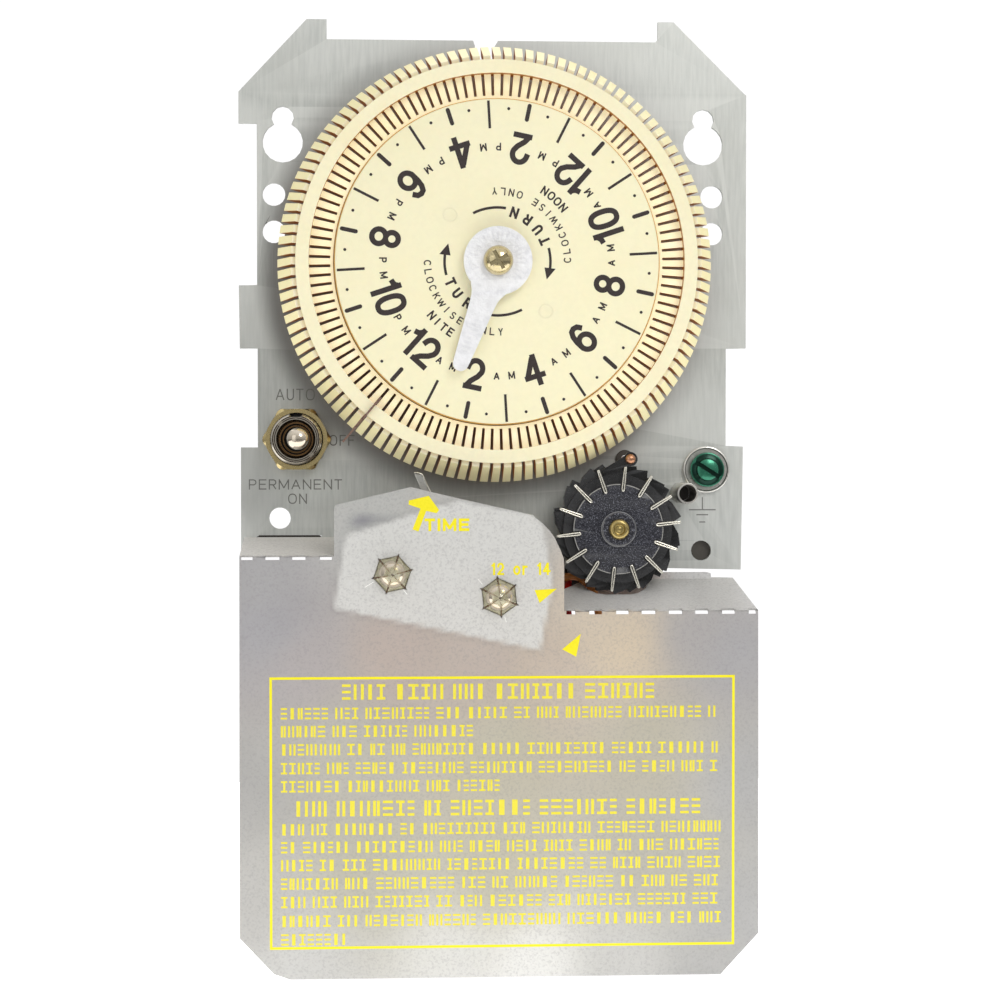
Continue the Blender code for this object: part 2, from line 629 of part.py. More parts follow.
# ------------------------------------------------------------------------------------------------
# wires
# ------------------------------------------------------------------------------------------------
WIRE_R, WIRE_SIDES = 0.95, 8
ORANGE_PATH = [    # x, height, z
    (12.0, 6.0, -84.6), (12.6, 5.5, -78.6), (15.4, 4.6, -74.4), (19.5, 4.4, -73.6),
    (23.2, 4.2, -76.6), (24.6, 4.2, -82.0), (26.0, 8.0, -91.5),
]
RED_PATH = [    # x, height, z
    (17.6, -4.0, -73.5), (17.5, 1.0, -74.6), (17.2, 5.5, -77.2), (17.0, 8.0, -82.0),
    (18.0, 10.5, -90.0), (18.0, 11.2, -93.5),
]


def build_wires():
    piece("wire_orange", cable(ORANGE_PATH, WIRE_R, WIRE_SIDES), ORANGE)
    piece("wire_red", cable(RED_PATH, WIRE_R, WIRE_SIDES), RED)


# ------------------------------------------------------------------------------------------------
# trip lever and moving contact
# ------------------------------------------------------------------------------------------------
LEVER_PIVOT_PROFILE = [    # radius, height
    (0.0, PLATE_BACK), (1.5, PLATE_BACK), (1.5, GAP), (2.8, GAP), (2.8, 9.0), (1.5, 9.0),
    (1.5, 11.4), (2.4, 11.4), (2.4, 12.1), (0.0, 12.4),
]
LEVER_EYE_R = 3.2
CONTACT_PIVOT_PROFILE = [    # radius, height
    (0.0, PLATE_BACK), (1.2, PLATE_BACK), (1.2, 13.0), (1.9, 13.0), (1.9, 13.6), (0.0, 13.8),
]
BLADE_END = [    # (x, z), up the right side of the blade and down the left
    (-8.0, -80.5), (-7.7, -71.4), (-6.9, -71.0), (-6.9, -68.8), (-8.4, -68.5), (-8.6, -80.5),
]


def build_trip_lever():
    piece("lever_pivot", turned(LEVER_PIVOT_PROFILE, LEVER_PIVOT, 12), ZINC, smooth=40)
    outline = [(-19.3, -48.7), (-17.5, -49.1), (-15.2, -53.6)]
    outline += arc(LEVER_PIVOT, LEVER_EYE_R, 68.0, -68.0, 10)
    outline += [(-10.3, -70.0), (-11.9, -70.0)]
    outline += arc(LEVER_PIVOT, LEVER_EYE_R, 248.0, 128.0, 8)
    outline += [(-17.0, -54.0)]
    swing = make_axis("trip_axis", LEVER_PIVOT)
    shape = slab(outline, back=9.4, front=10.9, holes=[circle(LEVER_PIVOT, 1.85, 10)])
    piece("trip_lever", shape, ZINC, axis=swing)


def build_moving_contact():
    piece("contact_pivot", turned(CONTACT_PIVOT_PROFILE, CONTACT_PIVOT, 10), BRASS, smooth=40)
    blade = arc(CONTACT_PIVOT, 2.6, 100.0, 430.0, 14) + BLADE_END
    rock = make_axis("contact_axis", CONTACT_PIVOT)
    bore = circle(CONTACT_PIVOT, CONTACT_BORE_R, 10)
    piece("moving_contact", slab(blade, back=10.4, front=12.4, holes=[bore]), BRASS, axis=rock)


# ------------------------------------------------------------------------------------------------
# dial
# ------------------------------------------------------------------------------------------------
TEETH = 120                      # slots in the ring, and teeth on its rim
PITCH = 360.0 / TEETH
SLOT_HALF = 0.45                 # degrees, half the width of a slot
SLOT_PHASE = 229.4               # degrees, centre of one slot
R_RIM_IN, R_RIM_OUT = 37.9, 38.6
R_RING_IN, R_RING_OUT = 43.5, 46.6
R_TOOTH_TOP, R_TOOTH_TIP, R_TOOTH_BACK = 47.6, 51.1, 49.0
H_UNDER, H_CHANNEL, H_TOOTH_TOP, H_RING, H_TOOTH_LOW = 10.5, 13.5, 15.0, 15.9, 6.0

# cross-sections of the dial ring, as (radius, height)
RIM_SECTION = [
    (R_RIM_IN, H_UNDER), (R_RIM_OUT, H_UNDER), (R_RIM_OUT, H_CHANNEL), (R_RIM_IN, H_CHANNEL),
]
RING_SECTION = [
    (R_RING_IN, H_UNDER), (R_RING_OUT, H_UNDER), (R_RING_OUT, H_TOOTH_TOP), (R_RING_OUT, H_RING),
    (R_RING_IN, H_RING), (R_RING_IN, H_CHANNEL),
]
TOOTH_SECTION = [
    (R_RING_OUT, H_UNDER), (R_TOOTH_BACK, H_TOOTH_LOW), (R_TOOTH_TIP, H_TOOTH_LOW),
    (R_TOOTH_TOP, H_TOOTH_TOP), (R_RING_OUT, H_TOOTH_TOP),
]
CROSS_BAR_SECTION = [
    (R_RIM_OUT, H_UNDER), (R_RING_IN, H_UNDER), (R_RING_IN, H_CHANNEL), (R_RIM_OUT, H_CHANNEL),
]
# rim, cross bar, ring and tooth together
FULL_SECTION = (RIM_SECTION[:2] + RING_SECTION[:1] + TOOTH_SECTION + RING_SECTION[3:]
                + RIM_SECTION[2:])

GEAR_FRONT = 5.0
FACE_R, FACE_TOP, FACE_UNDER, FACE_HUB_R, FACE_BEVEL = 37.5, 16.0, 13.0, 8.0, 0.3
FACE_PROFILE = [    # radius, height
    (DIAL_BORE_R, GEAR_FRONT + GAP), (FACE_HUB_R, GEAR_FRONT + GAP), (FACE_HUB_R, FACE_UNDER),
    (FACE_R, FACE_UNDER), (FACE_R, FACE_TOP - FACE_BEVEL), (FACE_R - FACE_BEVEL, FACE_TOP),
    (DIAL_BORE_R, FACE_TOP),
]
TRIP_IN, TRIP_OUT = 41.4, 54.9    # reach of the trip pin's ends


def toothed_ring():
    """The slotted ring with its sloping rim teeth, as one shell built sector by sector."""
    points, faces, index = [], [], {}
    sides = []
    for k in range(TEETH):
        middle = SLOT_PHASE + PITCH * k
        sides += [middle - SLOT_HALF, middle + SLOT_HALF]

    def point(side, radius, height):
        key = (side % len(sides), radius, height)
        if key not in index:
            index[key] = len(points)
            x, z = polar(CENTRE, radius, sides[key[0]])
            points.append((x, -height, z))
        return index[key]

    def sweep(section, start, end):
        for here, after in zip(section, section[1:] + section[:1]):
            faces.append((point(start, *here), point(end, *here),
                          point(end, *after), point(start, *after)))

    for k in range(TEETH):
        slot_start, slot_end, next_slot = 2 * k, 2 * k + 1, 2 * k + 2
        sweep(RIM_SECTION, slot_start, slot_end)
        sweep(RING_SECTION, slot_start, slot_end)
        sweep(FULL_SECTION, slot_end, next_slot)
        for section in (CROSS_BAR_SECTION, TOOTH_SECTION):
            faces.append(tuple(point(slot_end, *corner) for corner in section))
            faces.append(tuple(point(next_slot, *corner) for corner in reversed(section)))
    return points, faces


def build_dial():
    dial = make_axis("dial_axis", CENTRE)
    piece("dial_ring", toothed_ring(), CREAM, axis=dial)
    face = turned(FACE_PROFILE, CENTRE, 60, ring=True)
    piece("dial_face", face, CREAM, smooth=40, axis=dial)
    teeth = gear_outline(CENTRE, DRIVE_TEETH, tip_width=2.2, root_width=4.9)
    gear = slab(teeth, back=3.0, front=GEAR_FRONT, holes=[circle(CENTRE, DIAL_BORE_R, 16)])
    piece("drive_gear", gear, BRASS, axis=dial)
    # the trip pin lies over one slot, with a foot down into the channel
    arm = laid_along(SLOT_PHASE, strip(TRIP_IN, TRIP_OUT, half_width=0.225))
    trip = piece("trip_pin", slab(arm, back=16.2, front=16.9), COPPER, axis=dial)
    foot = laid_along(SLOT_PHASE, strip(TRIP_IN, 42.4, half_width=0.2))
    cut(trip, "UNION", slab(foot, back=10.9, front=16.5))


def build_pinion():
    spin = make_axis("pinion_axis", PINION)
    # turned half a tooth, so a tooth space faces the drive gear
    teeth = gear_outline(PINION, PINION_TEETH, tip_width=7.0, root_width=18.0,
                         phase=90.0 + 180.0 / PINION_TEETH)
    wheel = piece("motor_pinion", slab(teeth, back=2.7, front=5.3), BRASS, axis=spin)
    stub = [(0.0, PLATE_BACK), (1.5, PLATE_BACK), (1.5, 3.5), (0.0, 3.5)]
    cut(wheel, "UNION", turned(stub, PINION, 10))


# ------------------------------------------------------------------------------------------------
# day wheel and its detent
# ------------------------------------------------------------------------------------------------
DAYS = 14
DAY_BORE_R = 2.35
STAR_R, STAR_ROOT, RING_R = 15.4, 13.1, 12.8
STAR_RISE = 4.5                  # degrees the steep side of a tooth takes
STAR_FRONT = 11.6
DISC_R, NOTCH_R = 10.6, 9.0
DISC_BACK, DISC_FRONT, HUB_FRONT = STAR_FRONT + GAP, 13.3, 14.4
PIN_FIRST = 6.5                  # degrees, direction of the first skip pin
PIN_IN, PIN_OUT = 8.8, 14.7
PIN_EDGE = [    # reach, offset
    (PIN_IN, -0.4), (PIN_IN + 1.6, -0.4), (PIN_OUT - 0.3, -0.28), (PIN_OUT, -0.1),
]
NOTCH_EDGE = [(DISC_R, -9.0), (DISC_R, -3.6), (NOTCH_R, -3.9)]    # radius, degrees
DISC_HUB = [(0.0, 12.5), (4.0, 12.5), (4.0, 14.1), (3.7, HUB_FRONT), (0.0, HUB_FRONT)]
DAY_SHAFT = [    # radius, height
    (0.0, PLATE_BACK), (1.9, PLATE_BACK), (1.9, GAP), (4.0, GAP), (4.0, 5.5), (2.0, 5.5),
    (2.0, 14.7), (2.4, 14.7), (2.4, 15.2), (2.0, 15.8), (1.3, 16.0), (1.1, 15.5), (0.0, 15.3),
]
DETENT_PROFILE = [    # radius, height
    (0.0, PLATE_BACK), (0.8, PLATE_BACK), (0.8, 12.2), (1.2, 12.2), (1.2, 12.7), (0.8, 13.2),
    (0.0, 13.4),
]


def build_detent():
    piece("detent_post", turned(DETENT_PROFILE, DETENT_POST, 12), COPPER, smooth=50)
    outline = [(23.3, -49.1), (30.0, -45.0)]
    outline += arc(DETENT_POST, 1.75, 110.0, -60.0, 10)
    outline += [(29.7, -47.7), (26.6, -48.4), (24.4, -48.7)]
    arm = slab(outline, back=10.7, front=11.9, holes=[circle(DETENT_POST, 1.1, 14)])
    piece("detent_arm", arm, BLACK)


def star_outline(teeth, phase):
    """Ratchet teeth whose steep side faces clockwise."""
    back_offset = (360.0 / teeth - STAR_RISE) * 0.5
    tooth = [(STAR_ROOT, -STAR_RISE), (STAR_R, 0.0), ((STAR_R + STAR_ROOT) / 2 + 0.25, back_offset)]
    return repeated(DAY, teeth, phase, tooth)


def build_star_wheel(axis):
    star = piece("star_wheel", slab(star_outline(DAYS, 10.7), 8.2, 10.3), BLACK, axis=axis)
    cut(star, "UNION", slab(star_outline(12, -48.1), back=6.0, front=8.6))
    cut(star, "UNION", slab(circle(DAY, RING_R, 48, 1.3), back=9.9, front=STAR_FRONT))
    cut(star, "DIFFERENCE", slab(circle(DAY, DAY_BORE_R, 16), back=4.0, front=14.0))


def build_day_disc(axis):
    """The disc, with one notch for each skip pin."""
    outline = repeated(DAY, DAYS, PIN_FIRST, mirrored(NOTCH_EDGE))
    disc = piece("day_disc", slab(outline, DISC_BACK, DISC_FRONT), SPECKLED, axis=axis)
    cut(disc, "UNION", turned(DISC_HUB, DAY, 20))
    cut(disc, "DIFFERENCE", slab(circle(DAY, DAY_BORE_R, 16), back=10.0, front=16.0))


def build_skip_pins(axis):
    for i in range(DAYS):
        outline = laid_along(PIN_FIRST + 360.0 * i / DAYS, mirrored(PIN_EDGE), DAY)
        piece(f"skip_pin_{i + 1:02d}", slab(outline, DISC_FRONT + GAP, HUB_FRONT), ZINC, axis=axis)


def build_day_wheel():
    piece("day_wheel_shaft", turned(DAY_SHAFT, DAY, 18), BRASS, smooth=40)
    build_detent()
    axis = make_axis("day_axis", DAY)
    build_star_wheel(axis)
    build_day_disc(axis)
    build_skip_pins(axis)


build_plate()
build_sheet()
build_switch_frame()
build_fixed_contact()
build_terminals()
build_toggle_body()
build_toggle_front()
build_ground_screw()
build_spacer_tube()
build_pointer()
build_motor()
build_wires()
build_trip_lever()
build_moving_contact()
build_dial()
build_pinion()
build_day_wheel()
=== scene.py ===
"""A mechanical twenty-four hour time switch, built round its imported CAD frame.

The plate stands upright: X runs right, Z runs up and the front faces -Y.  Shapes are written in
millimetres from the dial axis on the front face of the plate, as plane points (x, z) with a
"height", the distance in front of the plate.  Angles are in degrees, anticlockwise from +X as
seen from the front.  Each visible piece rides on the CAD body that it stands for.
"""

import json
import math
import random

import bmesh
import bpy
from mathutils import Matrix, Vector
from mathutils.geometry import tessellate_polygon

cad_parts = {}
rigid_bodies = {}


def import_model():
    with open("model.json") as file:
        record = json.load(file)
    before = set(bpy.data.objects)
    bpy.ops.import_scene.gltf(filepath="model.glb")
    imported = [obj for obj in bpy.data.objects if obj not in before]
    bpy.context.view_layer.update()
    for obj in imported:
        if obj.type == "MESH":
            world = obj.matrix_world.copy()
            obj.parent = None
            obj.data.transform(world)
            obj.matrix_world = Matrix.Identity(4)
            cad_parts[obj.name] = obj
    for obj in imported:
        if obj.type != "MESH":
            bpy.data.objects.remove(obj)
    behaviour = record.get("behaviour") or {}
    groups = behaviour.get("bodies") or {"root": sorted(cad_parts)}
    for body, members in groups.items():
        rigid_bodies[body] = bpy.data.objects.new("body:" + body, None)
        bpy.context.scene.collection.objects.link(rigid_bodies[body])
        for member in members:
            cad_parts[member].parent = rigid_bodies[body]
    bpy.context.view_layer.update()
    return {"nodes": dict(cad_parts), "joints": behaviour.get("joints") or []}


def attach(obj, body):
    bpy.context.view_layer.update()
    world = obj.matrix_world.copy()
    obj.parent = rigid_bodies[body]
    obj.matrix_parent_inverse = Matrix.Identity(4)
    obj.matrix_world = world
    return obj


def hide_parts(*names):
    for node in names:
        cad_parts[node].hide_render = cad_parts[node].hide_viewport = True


for old in list(bpy.data.objects):
    bpy.data.objects.remove(old, do_unlink=True)

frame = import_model()
NODES = frame["nodes"]

MM = 0.001
DIAL = Vector(next(joint["pos_m"] for joint in frame["joints"] if joint["name"] == "dial_turn"))

# axes of the pieces, (x, z)
CENTRE = (0.0, 0.0)
TOGGLE = (-46.7, -41.0)
DAY = (28.4, -62.0)
GROUND = (50.8, -48.2)
TUBE = (44.7, -53.7)
LOWER_HOLE = (49.76, -67.67)
POST_LEFT, POST_RIGHT = (-24.4, -71.9), (0.1, -77.2)
DETENT_POST = (31.3, -45.7)

FACE_H = 16.0                     # front of the dial face
SHEET_H, SHEET_T = 21.5, 0.5      # middle and thickness of the film


# ------------------------------------------------------------------------------------------------
# plane and solid shapes; a solid is (points, faces)
# ------------------------------------------------------------------------------------------------
def arc(at, radius, start, end, count):
    angles = [math.radians(start + (end - start) * i / count) for i in range(count + 1)]
    return [(at[0] + radius * math.cos(a), at[1] + radius * math.sin(a)) for a in angles]


def circle(at, radius, count):
    return arc(at, radius, 0.0, 360.0, count)[:-1]


def box(x0, x1, z0, z1):
    return [(x0, z0), (x1, z0), (x1, z1), (x0, z1)]


def slab(outline, low, high, holes=()):
    """A flat piece between two heights."""
    loops = [outline] + list(holes)
    flat = [point for loop in loops for point in loop]
    count = len(flat)
    points = [(x, -low, z) for x, z in flat] + [(x, -high, z) for x, z in flat]
    caps = tessellate_polygon([[Vector((x, z, 0.0)) for x, z in loop] for loop in loops])
    faces = [tuple(cap) for cap in caps]
    faces += [tuple(i + count for i in reversed(cap)) for cap in caps]
    start = 0
    for loop in loops:
        for i in range(len(loop)):
            here, after = start + i, start + (i + 1) % len(loop)
            faces.append((here, after, after + count, here + count))
        start += len(loop)
    return points, faces


def skin(rows, ring=False):
    """Faces between closed rows of vertex numbers; a ring also joins the last row to the first."""
    faces = []
    for low, high in list(zip(rows, rows[1:])) + ([(rows[-1], rows[0])] if ring else []):
        for i in range(len(low)):
            j = (i + 1) % len(low)
            # a row at the axis repeats one vertex, so its quads shrink to triangles
            quad = tuple(dict.fromkeys((low[i], low[j], high[j], high[i])))
            if len(quad) > 2:
                faces.append(quad)
    return faces


def turned(profile, at, count, ring=False):
    """A profile of (radius, height) turned about an axis that points forward."""
    points, rows = [], []
    for radius, height in profile:
        if radius == 0.0:
            rows.append([len(points)] * count)
            points.append((at[0], -height, at[1]))
        else:
            rows.append(list(range(len(points), len(points) + count)))
            points += [(x, -height, z) for x, z in circle(at, radius, count)]
    return points, skin(rows, ring)


def joined(*shapes):
    points, faces = [], []
    for more_points, more_faces in shapes:
        start = len(points)
        points += list(more_points)
        faces += [tuple(i + start for i in face) for face in more_faces]
    return points, faces


def cable(path, radius, sides=14, steps=8):
    """A round rod along a smooth path of (x, height, z); radius is one number or one per point."""
    line = [Vector((x, -height, z)) for x, height, z in path]
    radii = radius if isinstance(radius, list) else [radius] * len(line)
    smooth, widths = [], []
    for i in range(len(line) - 1):
        p0, p1, p2, p3 = (line[max(i - 1, 0)], line[i], line[i + 1],
                          line[min(i + 2, len(line) - 1)])
        for step in range(steps):
            t = step / steps
            smooth.append(0.5 * ((2 * p1) + (p2 - p0) * t
                                 + (2 * p0 - 5 * p1 + 4 * p2 - p3) * t * t
                                 + (3 * p1 - p0 - 3 * p2 + p3) * t**3))
            widths.append(radii[i] + (radii[i + 1] - radii[i]) * t)
    smooth.append(line[-1])
    widths.append(radii[-1])

    side = (smooth[1] - smooth[0]).orthogonal().normalized()
    points = []
    for i, here in enumerate(smooth):
        ahead = (smooth[min(i + 1, len(smooth) - 1)] - smooth[max(i - 1, 0)]).normalized()
        side = (side - ahead * side.dot(ahead)).normalized()
        across = ahead.cross(side)
        for k in range(sides):
            turn = 2 * math.pi * k / sides
            around = math.cos(turn) * side + math.sin(turn) * across
            points.append(tuple(here + widths[i] * around))
    rows = [list(range(i * sides, (i + 1) * sides)) for i in range(len(smooth))]
    return points, skin(rows) + [tuple(reversed(rows[0])), tuple(rows[-1])]


def double_skin(row_count, width):
    """Faces of a grid of vertices doubled by a second layer, closed round its rim."""
    count = row_count * width
    faces = []
    for k in range(row_count - 1):
        for i in range(width - 1):
            low, high = k * width + i, (k + 1) * width + i
            quad = (low, low + 1, high + 1, high)
            faces.append(quad)
            faces.append(tuple(v + count for v in reversed(quad)))
    rim = list(range(width)) + [k * width + width - 1 for k in range(1, row_count)]
    rim += [(row_count - 1) * width + i for i in range(width - 2, -1, -1)]
    rim += [k * width for k in range(row_count - 2, 0, -1)]
    for here, after in zip(rim, rim[1:] + rim[:1]):
        faces.append((after, here, here + count, after + count))
    return faces


# ------------------------------------------------------------------------------------------------
# materials
# ------------------------------------------------------------------------------------------------
def linear(red, green, blue):
    """Screen colour from 0 to 255 to linear light."""
    shares = [c / 255.0 for c in (red, green, blue)]
    return tuple(c / 12.92 if c <= 0.04045 else ((c + 0.055) / 1.055) ** 2.4 for c in shares)


def scaled(colour, share, extra=0.0):
    return tuple(min(1.0, c * share + extra) for c in colour)


class Graph:
    """Short hand for building a material's nodes."""

    def __init__(self, name):
        self.material = bpy.data.materials.new(name)
        self.material.use_nodes = True
        self.tree = self.material.node_tree
        self.shader = self.tree.nodes["Principled BSDF"]
        self.place = self.add("ShaderNodeTexCoord").outputs["Object"]

    def add(self, kind, inputs=None, **settings):
        node = self.tree.nodes.new(kind)
        for key, value in settings.items():
            setattr(node, key, value)
        for key, value in (inputs or {}).items():
            self.put(node.inputs[key], value)
        return node

    def put(self, socket, value):
        if isinstance(value, bpy.types.NodeSocket):
            self.tree.links.new(value, socket)
        elif isinstance(value, tuple) and len(value) == 3 and socket.type == "RGBA":
            socket.default_value = (*value, 1.0)
        else:
            socket.default_value = value

    def set(self, name, value):
        self.put(self.shader.inputs[name], value)

    def math(self, operation, a, b=0.0, clamp=False):
        return self.add("ShaderNodeMath", {0: a, 1: b}, operation=operation,
                        use_clamp=clamp).outputs[0]

    def times(self, a, b):
        return self.math("MULTIPLY", a, b)

    def plus(self, a, b, clamp=False):
        return self.math("ADD", a, b, clamp)

    def noise(self, scale, detail=4.0, rough=0.6, stretch=None, distortion=0.0):
        place = self.place
        if stretch:
            place = self.add("ShaderNodeMapping", {"Vector": place, "Scale": stretch}).outputs[0]
        return self.add("ShaderNodeTexNoise", {
            "Vector": place, "Scale": scale, "Detail": detail, "Roughness": rough,
            "Distortion": distortion}).outputs["Fac"]

    def band(self, value, low, high, to_low=0.0, to_high=1.0):
        """A smooth step from to_low to to_high while the value goes from low to high."""
        return self.add("ShaderNodeMapRange", {
            "Value": value, "From Min": low, "From Max": high, "To Min": to_low,
            "To Max": to_high}, interpolation_type="SMOOTHSTEP").outputs[0]

    def mix(self, factor, a, b):
        return self.add("ShaderNodeMix", {0: factor, 6: a, 7: b}, data_type="RGBA").outputs[2]

    def stain(self, base, colour, mask, low, high, share):
        """Lays a share of a colour over the base where the mask is high."""
        return self.mix(self.times(self.band(mask, low, high), share), base, colour)

    def wear(self, base, colour, share, low=0.505, high=0.56):
        """Another colour along the convex edges."""
        edge = self.add("ShaderNodeNewGeometry").outputs["Pointiness"]
        return self.stain(base, colour, edge, low, high, share)

    def bump(self, height, strength, distance, normal=None):
        inputs = {"Height": height, "Strength": strength, "Distance": distance}
        if normal is not None:
            inputs["Normal"] = normal
        return self.add("ShaderNodeBump", inputs).outputs[0]

    def split(self, vector):
        return self.add("ShaderNodeSeparateXYZ", {0: vector}).outputs

    def facing(self, normal, low, high):
        """How far a split normal turns to the front, as a smooth step."""
        return self.band(self.times(normal["Y"], -1.0), low, high)

    def from_dial(self, geometry):
        """x, z and distance from the dial axis, in metres."""
        place = self.split(geometry.outputs["Position"])
        x = self.math("SUBTRACT", place["X"], DIAL.x)
        z = self.math("SUBTRACT", place["Z"], DIAL.z)
        return x, z, self.math("SQRT", self.plus(self.times(x, x), self.times(z, z)))


def surface(name, rgb, rough, metal=0.0, dirt=None, dirt_share=0.35, vary=0.12, grain=900.0,
            bump=0.15, depth=4e-5, rough_vary=0.12, worn=None, worn_share=0.5, stretch=None,
            coat=0.0, subsurface=0.0):
    """Uneven colour and gloss, a fine relief and brighter worn edges; colours are 0 to 255."""
    g = Graph(name)
    colour = linear(*rgb)
    fine = g.noise(grain, detail=5.0, rough=0.65, stretch=stretch)
    cloud = g.noise(60.0, detail=3.0, rough=0.55)
    base = g.mix(g.band(fine, 0.3, 0.7), scaled(colour, 1.0 - vary),
                 scaled(colour, 1.0 + vary * 0.6))
    dirt = linear(*dirt) if dirt else scaled(colour, 0.72)
    base = g.stain(base, dirt, cloud, low=0.45, high=0.75, share=dirt_share)
    worn = linear(*worn) if worn else scaled(colour, 1.35, 0.03)
    g.set("Base Color", g.wear(base, worn, worn_share))
    half = rough_vary / 2
    g.set("Roughness", g.plus(g.band(fine, 0.25, 0.75, rough - half, rough + half),
                              g.times(g.band(cloud, 0.4, 0.8), 0.08), clamp=True))
    g.set("Metallic", metal)
    g.set("Normal", g.bump(fine, bump, depth))
    if coat:
        g.set("Coat Weight", coat)
        g.set("Coat Roughness", 0.12)
    if subsurface:
        g.set("Subsurface Weight", subsurface)
        g.set("Subsurface Radius", (1.0, 0.55, 0.25))
        g.set("Subsurface Scale", 0.002)
    return g


def metal(name, rgb, rough, **more):
    return surface(name, rgb, rough, metal=1.0, **more)


def with_painted_wall_shade(g, rgb, glow=0.0):
    """Painted shade and bounced light: surfaces turned away from the front take another colour."""
    geometry = g.add("ShaderNodeNewGeometry")
    normal = g.split(geometry.outputs["True Normal"])
    front = g.facing(normal, 0.04, 0.30)
    base = g.shader.inputs["Base Color"].links[0].from_socket
    base = g.mix(front, linear(*rgb), base)
    if glow:
        # painted light: the flat channel inside the teeth and the sloping teeth stay bright
        # through a painted glow, and the slope also gets a lighter painted colour
        reach = g.from_dial(geometry)[2]
        channel = g.times(g.band(reach, 0.0436, 0.0434), g.facing(normal, 0.5, 0.9))
        slope = g.times(g.band(reach, 0.0474, 0.0478), g.facing(normal, 0.80, 0.60))
        slope = g.times(slope, front)
        base = g.mix(g.times(slope, 0.55), base, linear(238, 222, 140))
        # painted glow colours: amber on the walls, pale yellow on the front
        wall_light, front_light = (0.85, 0.30, 0.07), (1.0, 0.90, 0.58)
        g.set("Emission Color", g.mix(front, wall_light, front_light))
        walls = g.times(g.math("SUBTRACT", 1.0, front), 0.075)
        g.set("Emission Strength", g.plus(walls, g.plus(g.times(channel, glow),
                                                        g.times(slope, glow * 0.55))))
    g.set("Base Color", base)
    return g


def steel_look():
    """Galvanised sheet: satin, with a fine vertical grain, cloudy patches, small scuffs and a
    painted shadow round the dial and down the left side.
    """
    g = Graph("galvanised_sheet")
    grain = g.noise(1500.0, stretch=(1.0, 1.0, 0.08))
    cloud = g.noise(45.0)
    patch = g.noise(16.0, detail=2.0, rough=0.5)
    scuff = g.noise(260.0, detail=6.0, rough=0.75, stretch=(0.35, 1.0, 1.0), distortion=0.6)
    base = g.mix(g.band(grain, 0.3, 0.7), linear(196, 199, 195), linear(214, 216, 212))
    base = g.stain(base, linear(186, 187, 181), cloud, low=0.42, high=0.7, share=0.35)
    base = g.stain(base, linear(206, 207, 201), patch, low=0.45, high=0.7, share=0.25)
    base = g.stain(base, linear(170, 168, 160), scuff, low=0.66, high=0.78, share=0.30)
    base = g.wear(base, linear(235, 236, 232), share=0.5)

    # painted shadow on the front: round the dial, mostly lower left, and down the left side
    geometry = g.add("ShaderNodeNewGeometry")
    x, z, reach = g.from_dial(geometry)
    front = g.facing(g.split(geometry.outputs["True Normal"]), 0.4, 0.8)
    near = g.band(reach, 0.0520, 0.0582, to_low=1.0, to_high=0.0)
    lean = g.plus(g.times(g.math("DIVIDE", x, reach), -0.30),
                  g.times(g.math("DIVIDE", z, reach), -0.22))
    shadow_round_dial = g.times(near, g.plus(lean, 0.30, clamp=True))
    shadow_down_side = g.times(g.band(x, -0.060, -0.040, to_low=1.0, to_high=0.0),
                        g.times(g.band(z, -0.066, -0.054),
                                g.band(z, -0.030, 0.010, to_low=0.30, to_high=0.0)))
    shade = g.times(front, g.plus(shadow_round_dial, shadow_down_side, clamp=True))
    g.set("Base Color", g.mix(shade, base, linear(96, 94, 88)))
    g.set("Roughness", g.plus(g.band(grain, 0.2, 0.8, 0.36, 0.46), g.times(cloud, 0.10)))
    g.set("Metallic", 0.80)
    waves = g.bump(cloud, strength=0.12, distance=3e-4)
    g.set("Normal", g.bump(grain, strength=0.10, distance=3e-5, normal=waves))
    return g


def speckled_look():
    """Near-black disc with fine pale speckles."""
    g = Graph("speckled_disc")
    speck = g.noise(4200.0, detail=3.0)
    coarse = g.noise(900.0, rough=0.7)
    base = g.mix(g.band(speck, 0.52, 0.70), linear(46, 46, 53), linear(158, 160, 172))
    base = g.stain(base, linear(26, 26, 36), coarse, low=0.5, high=0.7, share=0.45)
    g.set("Base Color", g.wear(base, linear(150, 150, 150), share=0.6, low=0.51, high=0.6))
    g.set("Roughness", g.band(coarse, 0.3, 0.7, 0.24, 0.40))
    g.set("Metallic", 0.45)
    g.set("Normal", g.bump(speck, strength=0.2, distance=3e-5))
    return g


def film_look():
    """Frosted film: colour from the mesh, broken up by haze, fibres, grit and faint scratches."""
    g = Graph("frosted_film")
    tone = g.add("ShaderNodeVertexColor", layer_name="tone").outputs["Color"]
    haze = g.noise(38.0)
    fine = g.noise(1100.0, rough=0.7)
    scratch = g.noise(420.0, detail=5.0, rough=0.8, stretch=(1.0, 1.0, 0.12), distortion=0.3)
    grit = g.noise(1900.0, detail=3.0)
    pale = g.mix(0.4, tone, (0.9, 0.9, 0.9))
    base = g.stain(tone, pale, haze, low=0.35, high=0.7, share=0.14)
    base = g.stain(base, linear(150, 146, 142), fine, low=0.4, high=0.65, share=0.10)
    base = g.stain(base, linear(132, 128, 132), grit, low=0.48, high=0.66, share=0.24)
    base = g.stain(base, linear(225, 224, 222), scratch, low=0.66, high=0.76, share=0.12)
    g.set("Base Color", base)
    g.set("Roughness", g.band(fine, 0.3, 0.7, 0.34, 0.50))
    g.set("IOR", 1.45)
    waves = g.bump(haze, strength=0.10, distance=5e-4)
    g.set("Normal", g.bump(fine, strength=0.06, distance=2e-5, normal=waves))
    return g


